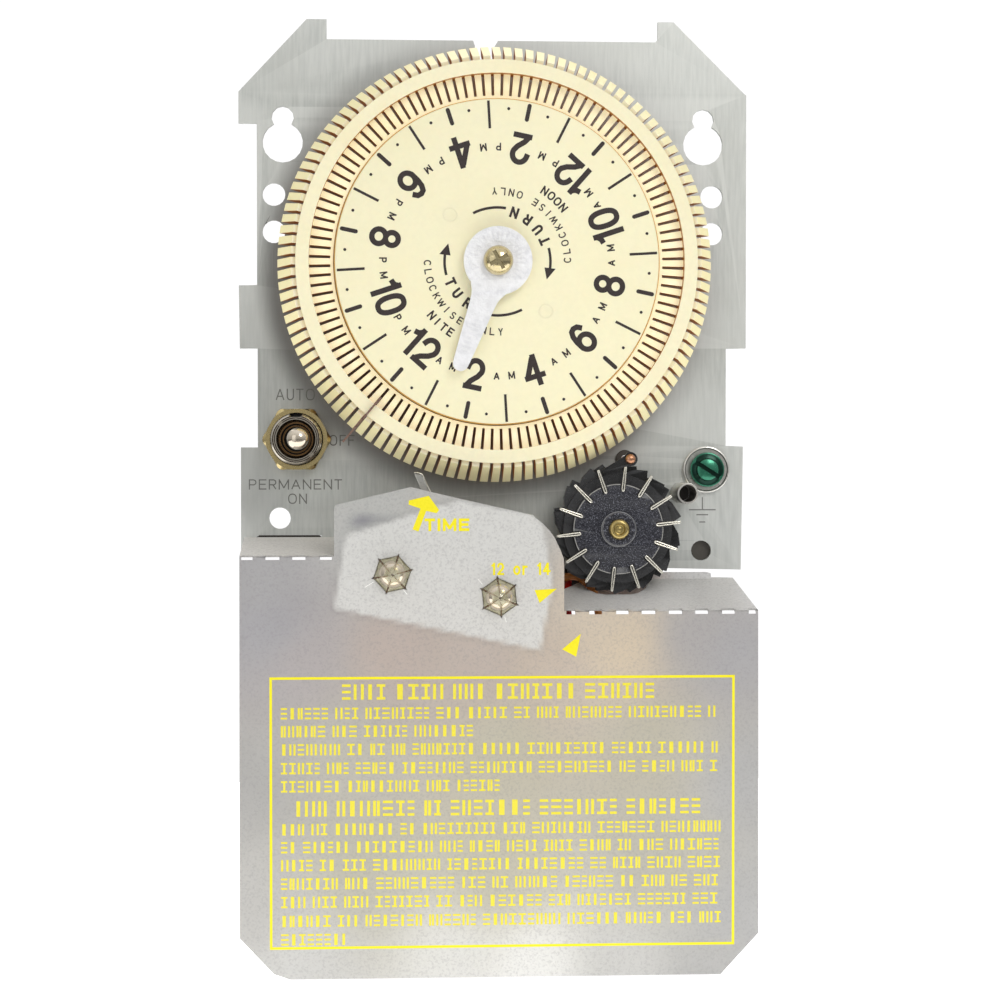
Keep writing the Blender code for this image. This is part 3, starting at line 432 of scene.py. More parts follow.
def clear_look():
    """Clear thin film over the posts: a glossy transparent sheet with a little solid haze."""
    g = Graph("clear_film")
    haze = g.noise(700.0)
    fresnel = g.add("ShaderNodeFresnel", {"IOR": 1.5}).outputs[0]
    glossy = g.add("ShaderNodeBsdfGlossy", {"Roughness": 0.12}).outputs[0]
    glass = g.add("ShaderNodeBsdfTransparent", {"Color": (0.88, 0.86, 0.74)}).outputs[0]
    sheet = g.add("ShaderNodeMixShader", {0: g.plus(fresnel, 0.06, clamp=True), 1: glass,
                                          2: glossy}).outputs[0]
    g.set("Base Color", g.mix(haze, linear(214, 206, 168), linear(244, 238, 210)))
    g.set("Roughness", 0.3)
    hazy = g.add("ShaderNodeMixShader", {0: g.band(haze, 0.2, 0.8, 0.22, 0.42), 1: sheet,
                                         2: g.shader.outputs[0]})
    g.put(g.tree.nodes["Material Output"].inputs["Surface"], hazy.outputs[0])
    return g


def ink(name, rgb, rough=0.5, fade=0.12, shade=1.0):
    """Printed ink, slightly uneven."""
    g = Graph(name)
    colour = scaled(linear(*rgb), shade)
    worn = g.noise(1800.0, detail=5.0, rough=0.7)
    patch = g.noise(160.0, detail=3.0)
    base = g.mix(g.band(worn, 0.35, 0.7), colour, scaled(colour, 1.0 + fade, 0.01))
    base = g.stain(base, scaled(colour, 0.85), patch, low=0.5, high=0.8, share=0.25)
    g.set("Base Color", base)
    g.set("Roughness", g.band(worn, 0.3, 0.7, rough - 0.06, rough + 0.08))
    return g


LOOK = {
    "steel": steel_look(),
    "zinc": metal("zinc_plate", (204, 202, 196), rough=0.30, grain=1400.0, vary=0.08),
    "dull_zinc": metal("dull_zinc", (168, 166, 160), rough=0.42, vary=0.14),
    "nickel": metal("nickel_plate", (214, 202, 184), rough=0.12, grain=2200.0, vary=0.05,
                    bump=0.05, rough_vary=0.06),
    "yellow": metal("yellow_passivated_zinc", (206, 180, 118), rough=0.22, grain=1600.0,
                    vary=0.14, dirt=(120, 96, 52), bump=0.08, rough_vary=0.1),
    "screw": metal("screw_head", (204, 190, 150), rough=0.16, grain=2200.0, vary=0.08,
                   dirt=(120, 100, 60), dirt_share=0.3, bump=0.04, rough_vary=0.06),
    "olive": metal("olive_passivated_zinc", (176, 156, 100), rough=0.28, grain=1600.0,
                   vary=0.18, dirt=(84, 74, 40), dirt_share=0.5),
    "brass": metal("machined_brass", (214, 176, 100), rough=0.25, grain=1500.0, vary=0.1),
    "copper": metal("copper", (186, 136, 104), rough=0.28, grain=1500.0, vary=0.14),
    "trip": metal("trip_pin_wire", (160, 130, 116), rough=0.26, grain=1500.0,
                  dirt=(80, 60, 52), dirt_share=0.5),
    # painted shade: amber colour for the shadowed gap between the dial face and the ring
    "amber": surface("painted_amber_gap_shade", (206, 156, 74), rough=0.5, grain=700.0, vary=0.08,
                     subsurface=0.2),
    "bronze": metal("nut_bronze", (112, 90, 60), rough=0.22, grain=1600.0, vary=0.16,
                    dirt=(92, 76, 50), dirt_share=0.5, worn=(226, 206, 150), worn_share=0.8),
    "thread": metal("bushing_thread", (112, 98, 84), rough=0.20, grain=1800.0, vary=0.10,
                    dirt=(84, 72, 60), dirt_share=0.45, worn=(226, 220, 206), worn_share=0.7),
    # dark bore colour, also used as painted shade behind the wires and in the film slot
    "bore": surface("dark_bore_and_painted_shade", (34, 28, 25), rough=0.35, metal=0.5, grain=1200.0, vary=0.2,
                    dirt=(20, 17, 16)),
    "bore_ring": metal("bore_ring", (128, 98, 62), rough=0.28, grain=1200.0, vary=0.2,
                       dirt=(60, 46, 32), dirt_share=0.6),
    "hole": surface("shaded_hole", (74, 70, 64), rough=0.5, metal=0.3, grain=700.0, vary=0.2,
                    dirt=(48, 46, 42)),
    "pin": metal("skip_pin_wire", (236, 228, 212), rough=0.24, grain=2400.0, bump=0.05),
    "cast": surface("rough_casting", (246, 246, 249), rough=0.40, metal=0.35, grain=620.0,
                    vary=0.10, bump=0.85, depth=3.0e-4, dirt=(206, 206, 208), dirt_share=0.4,
                    rough_vary=0.2),
    # painted shade: the walls of the dial face take an amber colour
    "face": with_painted_wall_shade(surface("dial_moulding", (247, 238, 197), rough=0.42, grain=700.0,
                               vary=0.035, bump=0.05, depth=3e-5, dirt=(243, 230, 180),
                               dirt_share=0.5, worn=(253, 247, 215), rough_vary=0.08,
                               subsurface=0.12), (196, 146, 66)),
    # painted shade: the ring's walls take a brown colour; painted glow in its channel and on its
    # sloping teeth
    "ring": with_painted_wall_shade(surface("ring_moulding", (248, 238, 196), rough=0.40, grain=700.0,
                               vary=0.04, bump=0.05, depth=3e-5, dirt=(240, 224, 168),
                               dirt_share=0.5, worn=(255, 250, 226), rough_vary=0.08,
                               subsurface=0.12), (158, 104, 44), glow=0.26),
    "black": surface("black_moulding", (15, 15, 16), rough=0.26, vary=0.25, bump=0.10,
                     dirt=(34, 33, 32), worn=(82, 82, 84)),
    "disc": speckled_look(),
    "fibre": surface("fibre_plate", (222, 221, 216), rough=0.6, grain=500.0, vary=0.06,
                     bump=0.1),
    "phenolic": surface("brown_moulding", (66, 40, 30), rough=0.42, grain=500.0, vary=0.2,
                        bump=0.12, dirt=(90, 62, 46)),
    "green": surface("green_dyed_steel", (2, 50, 37), rough=0.20, metal=0.70, grain=1300.0,
                     vary=0.22, bump=0.06, dirt=(4, 36, 27), dirt_share=0.6,
                     worn=(80, 172, 138), coat=0.15),
    "red": surface("red_insulation", (196, 22, 18), rough=0.32, grain=400.0, vary=0.1,
                   bump=0.05, dirt=(110, 14, 12)),
    "orange": surface("orange_insulation", (206, 132, 62), rough=0.36, grain=400.0, bump=0.05,
                      dirt=(140, 78, 36)),
    "can": metal("drawn_can", (196, 195, 190), rough=0.34, grain=1200.0, vary=0.08,
                 stretch=(1.0, 0.1, 1.0)),
    "tape": surface("winding_tape", (222, 206, 160), rough=0.55, grain=300.0, vary=0.1,
                    bump=0.2, stretch=(0.15, 1.0, 1.0)),
    "film": film_look(),
    "clear": clear_look(),
    "dial_ink": ink("dial_ink", (46, 36, 34), rough=0.45),
    "yellow_ink": ink("yellow_ink", (255, 240, 12), fade=0.04, shade=0.90),
    "stamp": ink("stamped_legend", (112, 112, 108), rough=0.55),
    "notice_ink": ink("notice_ink", (232, 218, 60), fade=0.06),
    "slit": ink("slit_edge", (120, 88, 62)),
    # painted glints at the slit ends
    "slit_white": ink("slit_glint", (244, 242, 238), rough=0.4),
}


# ------------------------------------------------------------------------------------------------
# objects
# ------------------------------------------------------------------------------------------------
def shading_group():
    """Cleans the imported shading: welds the corners and keeps only the steep edges sharp."""
    group = bpy.data.node_groups.new("clean_shading", "GeometryNodeTree")
    for direction in ("INPUT", "OUTPUT"):
        group.interface.new_socket("Geometry", in_out=direction,
                                   socket_type="NodeSocketGeometry")
    add, link = group.nodes.new, group.links.new
    start = add("NodeGroupInput")
    remove = add("GeometryNodeRemoveAttribute")
    remove.inputs["Name"].default_value = "custom_normal"
    weld = add("GeometryNodeMergeByDistance")
    weld.inputs["Distance"].default_value = 1e-5
    smooth = add("GeometryNodeSetShadeSmooth")
    smooth.domain = "FACE"
    sharp = add("GeometryNodeSetShadeSmooth")
    sharp.domain = "EDGE"
    sharp.inputs["Shade Smooth"].default_value = False
    angle = add("GeometryNodeInputMeshEdgeAngle")
    over = add("FunctionNodeCompare")
    over.data_type = "FLOAT"
    over.operation = "GREATER_THAN"
    over.inputs[1].default_value = math.radians(32.0)
    link(angle.outputs["Unsigned Angle"], over.inputs[0])
    link(over.outputs[0], sharp.inputs["Selection"])
    chain = [start, remove, weld, smooth, sharp, add("NodeGroupOutput")]
    for node, following in zip(chain, chain[1:]):
        link(node.outputs[0], following.inputs[0])
    return group


def rounded(obj, width, segments=2, angle=33.0, miter="MITER_ARC"):
    bevel = obj.modifiers.new("rounded_edges", "BEVEL")
    bevel.width = width * MM
    bevel.segments = segments
    bevel.limit_method = "ANGLE"
    bevel.angle_limit = math.radians(angle)
    bevel.miter_outer = miter
    weights = obj.modifiers.new("weighted_normals", "WEIGHTED_NORMAL")
    weights.keep_sharp = True


def meshed(name, shape):
    points, faces = shape
    mesh = bpy.data.meshes.new(name)
    mesh.from_pydata([tuple(DIAL + Vector(point) * MM) for point in points], [], faces)
    return mesh


def tidy(mesh, weld):
    """Welds vertices closer than the given metres (0 for none) and turns all faces outward."""
    work = bmesh.new()
    work.from_mesh(mesh)
    if weld:
        bmesh.ops.remove_doubles(work, verts=work.verts, dist=weld)
    bmesh.ops.recalc_face_normals(work, faces=work.faces)
    work.to_mesh(mesh)
    work.free()


def shade(mesh, angle):
    mesh.shade_smooth()
    mesh.set_sharp_from_angle(angle=math.radians(angle))


def linked(name, mesh):
    obj = bpy.data.objects.new(name, mesh)
    bpy.context.scene.collection.objects.link(obj)
    return obj


def make(name, shape, look, body="frame", node=None, smooth=38.0, bevel=0.0,
         segments=2, weld=2e-7):
    """Builds a piece that rides on a body and may stand for a CAD node; smooth=0 is faceted."""
    mesh = meshed(name, shape)
    tidy(mesh, weld)
    mesh.materials.append(LOOK[look].material)
    if smooth:
        shade(mesh, smooth)
    obj = linked(name, mesh)
    if bevel:
        rounded(obj, bevel, segments)
    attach(obj, body)
    if node:
        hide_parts(node)
    return obj


def carve(target, angle, reach, half, floor, at):
    """Cuts a straight slot of half length reach into a head, down to the floor height."""
    turn = math.radians(angle)
    outline = [(at[0] + u * math.cos(turn) - v * math.sin(turn),
                at[1] + u * math.sin(turn) + v * math.cos(turn))
               for u, v in box(-reach, reach, -half, half)]
    mesh = meshed("slot_tool", slab(outline, floor, floor + 6.0))
    tidy(mesh, 0)
    tool = linked("slot_tool", mesh)
    cut = target.modifiers.new("slot", "BOOLEAN")
    cut.operation = "DIFFERENCE"
    cut.solver = "EXACT"
    cut.object = tool
    bpy.context.view_layer.update()
    graph = bpy.context.evaluated_depsgraph_get()
    result = bpy.data.meshes.new_from_object(target.evaluated_get(graph))
    target.modifiers.clear()
    uncut = target.data
    target.data = result
    bpy.data.meshes.remove(uncut)
    bpy.data.objects.remove(tool, do_unlink=True)
    bpy.data.meshes.remove(mesh)
    shade(result, 42.0)


# ------------------------------------------------------------------------------------------------
# pieces kept from the CAD model
# ------------------------------------------------------------------------------------------------
CAD_FINISHES = (  # node, look, bevel width, bevel segments
    ("base_plate", "steel", 0.18, 2), ("dial_ring", "ring", 0.09, 2),
    ("drive_gear", "brass", 0.06, 2), ("trip_pin", "trip", 0.06, 2),
    ("dial_shaft", "zinc", 0.06, 2), ("toggle_body", "black", 0.4, 3),
    ("star_wheel", "black", 0.12, 2), ("day_disc", "disc", 0.14, 3),
    ("detent_arm", "black", 0.1, 2), ("switch_cover_plate", "fibre", 0.12, 2),
    ("switch_base", "phenolic", 0.25, 2), ("fixed_contact", "brass", 0.1, 2),
    ("moving_contact", "brass", 0.1, 2), ("contact_pivot", "brass", 0.1, 2),
    ("lever_pivot", "zinc", 0.1, 2), ("trip_lever", "zinc", 0.12, 2),
    ("terminal_block", "phenolic", 0.3, 2), ("motor_gearbox", "dull_zinc", 0.3, 2),
    ("motor_case", "can", 0.3, 2), ("motor_coil", "tape", 0.8, 2),
    ("motor_screw_left", "zinc", 0.12, 2), ("motor_screw_right", "zinc", 0.12, 2),
    ("motor_pinion", "brass", 0.08, 2),
) + tuple((f"terminal_screw_{number}", "brass", 0.12, 2) for number in range(1, 6))


def dress_cad_pieces():
    group = shading_group()
    for node, look, bevel, segments in CAD_FINISHES:
        obj = NODES[node]
        obj.data.materials.clear()
        obj.data.materials.append(LOOK[look].material)
        clean = obj.modifiers.new("clean_shading", "NODES")
        clean.node_group = group
        rounded(obj, bevel, segments)


# ------------------------------------------------------------------------------------------------
# lettering drawn with strokes, each character in a box from 0 to 1
# ------------------------------------------------------------------------------------------------
def oval(x, y, across, tall, start, end, count, power=1.0):
    """Points on an oval with half sizes across and tall; a power below 1 makes it squarer."""
    out = []
    for i in range(count + 1):
        angle = math.radians(start + (end - start) * i / count)
        c, s = math.cos(angle), math.sin(angle)
        out.append((x + across * math.copysign(abs(c) ** power, c),
                    y + tall * math.copysign(abs(s) ** power, s)))
    return out


RING = oval(0.5, 0.5, 0.5, 0.5, 0.0, 350.0, 35, 0.82)
BOWL = [(0.0, 1.0)] + oval(0.62, 0.73, 0.38, 0.27, 90.0, -90.0, 10) + [(0.0, 0.46)]
STEM = [(0.0, 0.0), (0.0, 1.0)]
MIDDLE_BAR_Y = 0.52

GLYPH_LOOPS = {  # closed centre lines
    "0": [RING], "O": [RING],
    "6": [oval(0.5, 0.30, 0.5, 0.30, 0.0, 350.0, 35)],
    "8": [oval(0.5, 0.76, 0.44, 0.24, 0.0, 350.0, 35), oval(0.5, 0.26, 0.5, 0.26, 0.0, 350.0, 35)],
    "o": [oval(0.5, 0.36, 0.5, 0.36, 0.0, 350.0, 35)],
}
GLYPH_LINES = {  # open centre lines
    "1": [[(0.0, 0.80), (0.45, 0.83), (0.78, 0.90), (1.0, 1.0), (1.0, 0.0)]],
    "2": [oval(0.5, 0.70, 0.5, 0.30, 172.0, -22.0, 18)
          + [(0.76, 0.42), (0.34, 0.22), (0.06, 0.0), (1.0, 0.0)]],
    "4": [[(0.70, 0.0), (0.70, 1.0)], [(0.62, 0.96), (0.0, 0.27), (1.0, 0.27)]],
    "6": [[(0.0, 0.30), (0.01, 0.55), (0.10, 0.80), (0.28, 0.96), (0.52, 1.0), (0.78, 0.95),
           (0.95, 0.80)]],
    "A": [[(0.0, 0.0), (0.5, 1.0), (1.0, 0.0)], [(0.18, 0.33), (0.82, 0.33)]],
    "C": [oval(0.5, 0.5, 0.5, 0.5, 42.0, 318.0, 24, 0.9)],
    "E": [[(1.0, 1.0), (0.0, 1.0), (0.0, 0.0), (1.0, 0.0)],
          [(0.0, MIDDLE_BAR_Y), (0.88, MIDDLE_BAR_Y)]],
    "F": [[(1.0, 1.0), (0.0, 1.0), (0.0, 0.0)], [(0.0, MIDDLE_BAR_Y), (0.85, MIDDLE_BAR_Y)]],
    "I": [[(0.5, 0.0), (0.5, 1.0)]],
    "K": [STEM, [(1.0, 1.0), (0.0, 0.36)], [(0.36, 0.60), (1.0, 0.0)]],
    "L": [[(0.0, 1.0), (0.0, 0.0), (1.0, 0.0)]],
    "M": [[(0.0, 0.0), (0.0, 1.0), (0.5, 0.12), (1.0, 1.0), (1.0, 0.0)]],
    "N": [[(0.0, 0.0), (0.0, 1.0), (1.0, 0.0), (1.0, 1.0)]],
    "P": [STEM, BOWL],
    "R": [STEM, BOWL, [(0.55, 0.46), (1.0, 0.0)]],
    "S": [oval(0.5, 0.75, 0.46, 0.25, 32.0, 250.0, 14)
          + oval(0.5, 0.25, 0.5, 0.25, 75.0, -150.0, 14)],
    "T": [[(0.0, 1.0), (1.0, 1.0)], [(0.5, 1.0), (0.5, 0.0)]],
    "U": [[(0.0, 1.0)] + oval(0.5, 0.32, 0.5, 0.32, 180.0, 360.0, 14) + [(1.0, 1.0)]],
    "W": [[(0.0, 1.0), (0.25, 0.0), (0.5, 0.95), (0.75, 0.0), (1.0, 1.0)]],
    "Y": [[(0.0, 1.0), (0.5, 0.45), (1.0, 1.0)], [(0.5, 0.5), (0.5, 0.0)]],
    "r": [[(0.0, 0.0), (0.0, 0.72)], [(0.0, 0.44), (0.22, 0.64), (0.6, 0.72), (1.0, 0.70)]],
}
# width of the centre lines as a share of their height
GLYPH_SHARE = {"0": 0.545, "2": 0.545, "4": 0.60, "6": 0.545, "8": 0.545, "1": 0.26, "M": 0.82,
               "W": 1.05, "I": 0.0, "N": 0.66, "O": 0.76, "C": 0.72, "A": 0.72, "o": 0.58,
               "r": 0.34, " ": 0.35}
USUAL_SHARE = 0.58


def band_outline(line, closed, width):
    """The band of the given width along a line, as an outline and its holes, corners mitred."""
    count = len(line)
    left, right = [], []
    for i, here in enumerate(line):
        here = Vector(here)
        ahead = Vector(line[(i + 1) % count]) - here if closed or i < count - 1 else None
        behind = here - Vector(line[i - 1]) if closed or i > 0 else None
        way_in = (behind if behind is not None else ahead).normalized()
        way_out = (ahead if ahead is not None else behind).normalized()
        normal = Vector((-way_in.y, way_in.x))
        middle = normal + Vector((-way_out.y, way_out.x))
        if middle.length < 1e-6:
            middle = normal
        middle.normalize()
        reach = width / 2 / max(0.74, middle.dot(normal))
        left.append(tuple(here + middle * reach))
        right.append(tuple(here - middle * reach))
    if closed:
        return right, [left]
    return left + right[::-1], []


def pieces_of(line, stroke):
    """An open line cut at its sharp corners, with both ends of each piece made longer."""
    cuts = [0]
    for i in range(1, len(line) - 1):
        way_in = (Vector(line[i]) - Vector(line[i - 1])).normalized()
        way_out = (Vector(line[i + 1]) - Vector(line[i])).normalized()
        if way_in.dot(way_out) < 0.35:
            cuts.append(i)
    cuts.append(len(line) - 1)
    out = []
    for first, last in zip(cuts, cuts[1:]):
        piece = [Vector(point) for point in line[first:last + 1]]
        for end, near in ((0, 1), (-1, -2)):
            way = (piece[end] - piece[near]).normalized()
            square = max(abs(way.x), abs(way.y)) > 0.97
            piece[end] = piece[end] + way * stroke * (0.5 if square else 0.16)
        out.append([tuple(point) for point in piece])
    return out


def lettering(text, centre, right, up, high, stroke, low, top, wide=None, gap=None):
    """Flat raised characters centred on a point; the row runs along right, tops point along up."""
    if gap is None:
        gap = stroke * 0.8
    inner = high - stroke
    sizes = [GLYPH_SHARE.get(c, USUAL_SHARE) * inner for c in text]
    fixed = stroke * len(text) + gap * (len(text) - 1)
    stretch = 1.0 if wide is None else (wide - fixed) / sum(sizes)
    x = -(sum(sizes) * stretch + fixed) / 2

    def put(loop):
        return [(centre[0] + right[0] * u + up[0] * v, centre[1] + right[1] * u + up[1] * v)
                for u, v in loop]

    shapes = []
    for character, size in zip(text, sizes):
        size *= stretch

        def local(line):
            return [(x + stroke / 2 + u * size, -high / 2 + stroke / 2 + v * inner)
                    for u, v in line]

        parts = [(local(line), True) for line in GLYPH_LOOPS.get(character, ())]
        for line in GLYPH_LINES.get(character, ()):
            parts += [(piece, False) for piece in pieces_of(local(line), stroke)]
        for number, (line, closed) in enumerate(parts):
            outer, holes = band_outline(line, closed, stroke)
            # overlapping strokes differ a little in height
            shapes.append(slab(put(outer), low, top + 0.004 * number,
                               [put(hole) for hole in holes]))
        x += size + stroke + gap
    return joined(*shapes)


def boxed(text, x0, x1, z0, z1, low, top, stroke, gap):
    """Upright lettering stretched to fill a box."""
    return lettering(text, ((x0 + x1) / 2, (z0 + z1) / 2), (1.0, 0.0), (0.0, 1.0), z1 - z0,
                     stroke, low, top, x1 - x0, gap)


# ------------------------------------------------------------------------------------------------
# legend stamped on the plate
# ------------------------------------------------------------------------------------------------
LEGEND_LOW, LEGEND_TOP = -0.02, 0.02
LEGEND_WORDS = (  # text, left, right, bottom, top
    ("AUTO", -51.7619, -42.5, -31.7619, -29.0),
    ("OFF", -39.0952, -33.1429, -42.5, -39.9524),
    ("PERMANENT", -58.1429, -36.1190, -52.9048, -50.4762),
    ("ON", -48.8810, -44.4286, -56.3095, -53.8571),
)
# three level bars, each shorter than the one above, hang under a stem
BAR_X, BAR_HALF_T = 50.0, 0.13095
BARS = ((-57.8333, 3.2143), (-59.0238, 1.4286), (-60.7619, 0.7143))    # z, half length
BAR_STEM = (49.8810, 50.1429, -57.6667, -54.8095)                      # left, right, bottom, top


def build_legend():
    shapes = [boxed(*word, LEGEND_LOW, LEGEND_TOP, stroke=0.27, gap=0.55)
              for word in LEGEND_WORDS]
    outlines = [box(BAR_X - half, BAR_X + half, z - BAR_HALF_T, z + BAR_HALF_T)
                for z, half in BARS]
    shapes += [slab(outline, LEGEND_LOW, LEGEND_TOP) for outline in outlines + [box(*BAR_STEM)]]
    make("plate_legend", joined(*shapes), "stamp", smooth=0.0, weld=0)


# ------------------------------------------------------------------------------------------------
# dial
# ------------------------------------------------------------------------------------------------
NOON = 48.3          # angle of the noon mark; the afternoon runs anticlockwise
HOUR = 360.0 / 24
PRINT_LOW, PRINT_TOP = FACE_H - 0.03, FACE_H + 0.02
HOUR_NAMES = ("12", "2", "4", "6", "8", "10") * 2
FACE_PROFILE = [  # radius, height
    (4.0, 5.3), (8.0, 5.3), (8.0, 12.9), (8.2, 13.0), (37.4, 13.0), (37.5, 13.1), (37.5, 15.72),
    (37.45, 15.85), (37.35, 15.95), (37.2, FACE_H), (4.0, FACE_H)]
FACE_MARK_PROFILE = [(1.35, 15.95), (1.45, 16.03), (1.6, 16.05), (1.72, 16.03), (1.8, 15.95)]
FACE_GAP_SHADE_PROFILE = [(37.45, 13.2), (37.72, 13.2), (37.74, 15.1), (37.66, 15.2), (37.45, 15.2)]


def build_dial_face():
    # two shallow ejector marks
    marks = [turned(FACE_MARK_PROFILE, at, 40, ring=True) for at in ((-11.0, 10.7), (11.2, -11.5))]
    make("dial_face_fine", joined(turned(FACE_PROFILE, CENTRE, 240, ring=True), *marks), "face",
         "dial", "dial_face", smooth=50.0)


def printed(outline):
    return slab(outline, PRINT_LOW, PRINT_TOP)


def on_dial(text, angle, radius, high, stroke, gap=None):
    """Dial lettering: its top points to the centre."""
    c, s = math.cos(math.radians(angle)), math.sin(math.radians(angle))
    return lettering(text, (radius * c, radius * s), (-s, c), (-c, -s), high, stroke,
                     PRINT_LOW, PRINT_TOP, gap=gap)


def tick(angle, inner, outer, width, round_ends):
    turn = math.radians(angle)
    along = Vector((math.cos(turn), math.sin(turn)))
    side = Vector((-along.y, along.x))
    half = width / 2
    if round_ends:
        outline = []
        for reach, start in ((outer - half, -90), (inner + half, 90)):
            for i in range(9):
                t = math.radians(start + 180 * i / 8)
                outline.append(along * (reach + half * math.cos(t)) + side * half * math.sin(t))
    else:
        outline = [along * inner - side * half, along * outer - side * half,
                   along * outer + side * half, along * inner + side * half]
    return printed([tuple(point) for point in outline])


def bar_arc(radius, start, end, width=0.6, count=24):
    return printed(arc(CENTRE, radius + width / 2, start, end, count)
                   + arc(CENTRE, radius - width / 2, end, start, count))


def hour_scale():
    """Ticks with a dot between each two hours, the even hours, and AM or PM at the odd ones."""
    shapes = []
    for hour in range(24):
        angle = NOON + HOUR * hour
        if hour % 2 == 0:
            shapes.append(tick(angle, 32.9, 37.1, width=0.95, round_ends=True))
        else:
            shapes.append(tick(angle, 30.7, 37.1, width=0.6, round_ends=False))
        between = math.radians(angle + HOUR / 2)
        dot = (35.3 * math.cos(between), 35.3 * math.sin(between))
        shapes.append(printed(circle(dot, 0.35, 12)))
    for number, text in enumerate(HOUR_NAMES):
        shapes.append(on_dial(text, NOON + 2 * HOUR * number, 26.5, high=7.4, stroke=1.25,
                              gap=0.62))
    for hour in range(1, 24, 2):
        for letter, offset in (("P" if hour < 12 else "A", -3.8), ("M", 3.8)):
            shapes.append(on_dial(letter, NOON + HOUR * hour + offset, 26.45, high=1.8,
                                  stroke=0.33))
    return shapes


def half_dial(turn, name):
    """The words and the arrow round the hub, printed once on each half of the dial."""
    shapes = [on_dial(letter, 39.4 + 5.6 * i + turn, 19.65, high=2.05, stroke=0.38)
              for i, letter in enumerate(name)]
    shapes += [on_dial(letter, 1.5 + 7.0 * i + turn, 16.2, high=1.75, stroke=0.28)
               for i, letter in enumerate("CLOCKWISE ONLY") if letter != " "]
    shapes += [on_dial(letter, angle + turn, 11.9, high=2.55, stroke=0.55)
               for letter, angle in zip("TURN", (24.0, 38.4, 54.5, 70.9))]
    shapes.append(bar_arc(12.45, 81.0 + turn, 117.0 + turn))
    shapes.append(bar_arc(12.25, -7.0 + turn, 15.0 + turn))
    head = []
    for radius, angle in ((12.25 - 1.3, -7.0), (12.25 + 1.3, -7.0), (12.1, -19.8)):
        at = math.radians(angle + turn)
        head.append((radius * math.cos(at), radius * math.sin(at)))
    return shapes + [printed(head)]


def build_dial_print():
    shapes = hour_scale() + half_dial(0.0, "NOON") + half_dial(180.0, "NITE")
    make("dial_print", joined(*shapes), "dial_ink", "dial", smooth=0.0, weld=0)


def build_dial_gap_shade():
    # painted shade: an amber ring standing in for the shadow in the gap round the dial face
    make("dial_face_gap_shade", turned(FACE_GAP_SHADE_PROFILE, CENTRE, 240, ring=True), "amber", "dial",
         smooth=50.0)


# ------------------------------------------------------------------------------------------------
# pointer and its screw
# ------------------------------------------------------------------------------------------------
POINTER_ANGLE = 250.0
POINTER_LOW, POINTER_TOP = 17.0, 18.95
HUB_R, HUB_BORE_R = 7.9, 2.0
TIP_REACH, TIP_R = 26.9, 1.8
ARM_SIDE = [  # reach from the axis, half width
    (7.3, 3.95), (8.1, 3.5), (9.2, 3.15), (10.8, 2.95), (13.0, 2.78), (16.0, 2.55), (20.0, 2.25),
    (24.0, 1.92)]
SCREW_DOME = [  # radius, height
    (0.0, 9.4), (1.7, 9.4), (1.7, 19.25), (3.45, 19.25), (3.45, 19.6), (3.38, 20.2),
    (3.15, 20.8), (2.75, 21.35), (2.2, 21.8), (1.5, 22.1), (0.8, 22.25), (0.0, 22.3)]
ALONG = Vector((math.cos(math.radians(POINTER_ANGLE)), math.sin(math.radians(POINTER_ANGLE))))
ACROSS = Vector((-ALONG.y, ALONG.x))


def on_arm(reach, side):
    return tuple(ALONG * reach + ACROSS * side)


def pointer_outline():
    out = arc(CENTRE, HUB_R, POINTER_ANGLE + 33.0, POINTER_ANGLE + 327.0, 88)
    out += [on_arm(reach, -half) for reach, half in ARM_SIDE]
    for i in range(13):
        t = math.radians(-78.0 + 156.0 * i / 12)
        out.append(on_arm(TIP_REACH - TIP_R + TIP_R * math.cos(t), TIP_R * math.sin(t)))
    return out + [on_arm(reach, half) for reach, half in reversed(ARM_SIDE)]


def pointer_pads():
    """Rough raised pads round the hub and along the arm."""
    pads = []
    chance = random.Random(7)
    low = POINTER_TOP - 0.1
    for i in range(30):
        middle = POINTER_ANGLE + 24.0 + 312.0 * i / 29
        span = chance.uniform(2.2, 3.6)
        inner = 4.35 + chance.uniform(-0.15, 0.35)
        outer = 6.75 + chance.uniform(-0.4, 0.25)
        quad = arc(CENTRE, inner, middle - span * 1.1, middle + span * 1.1, 3)
        quad += arc(CENTRE, outer, middle + span, middle - span, 3)
        pads.append(slab(quad, low, POINTER_TOP + chance.uniform(0.10, 0.20)))
    for i in range(12):
        reach = 9.6 + 1.08 * i
        half = 1.75 - 0.055 * i
        skew = chance.uniform(-0.2, 0.2)
        quad = [on_arm(reach, -half + skew), on_arm(reach + 0.5, -half),
                on_arm(reach + 0.5 + skew, half * 0.9), on_arm(reach, half)]
        pads.append(slab(quad, low, POINTER_TOP + chance.uniform(0.06, 0.16)))
    return pads


def build_pointer():
    body = slab(pointer_outline(), POINTER_LOW, POINTER_TOP, [circle(CENTRE, HUB_BORE_R, 32)])
    make("pointer_casting", body, "cast", node="pointer", smooth=40.0,
         bevel=0.35, segments=3)
    make("pointer_relief", joined(*pointer_pads()), "cast", smooth=40.0,
         bevel=0.07)
    screw = make("pointer_screw_fine", turned(SCREW_DOME, CENTRE, 64), "screw",
                 node="pointer_screw", smooth=50.0)
    for angle in (28.0, 118.0):    # cross recess
        carve(screw, angle, reach=2.3, half=0.45, floor=20.6, at=CENTRE)


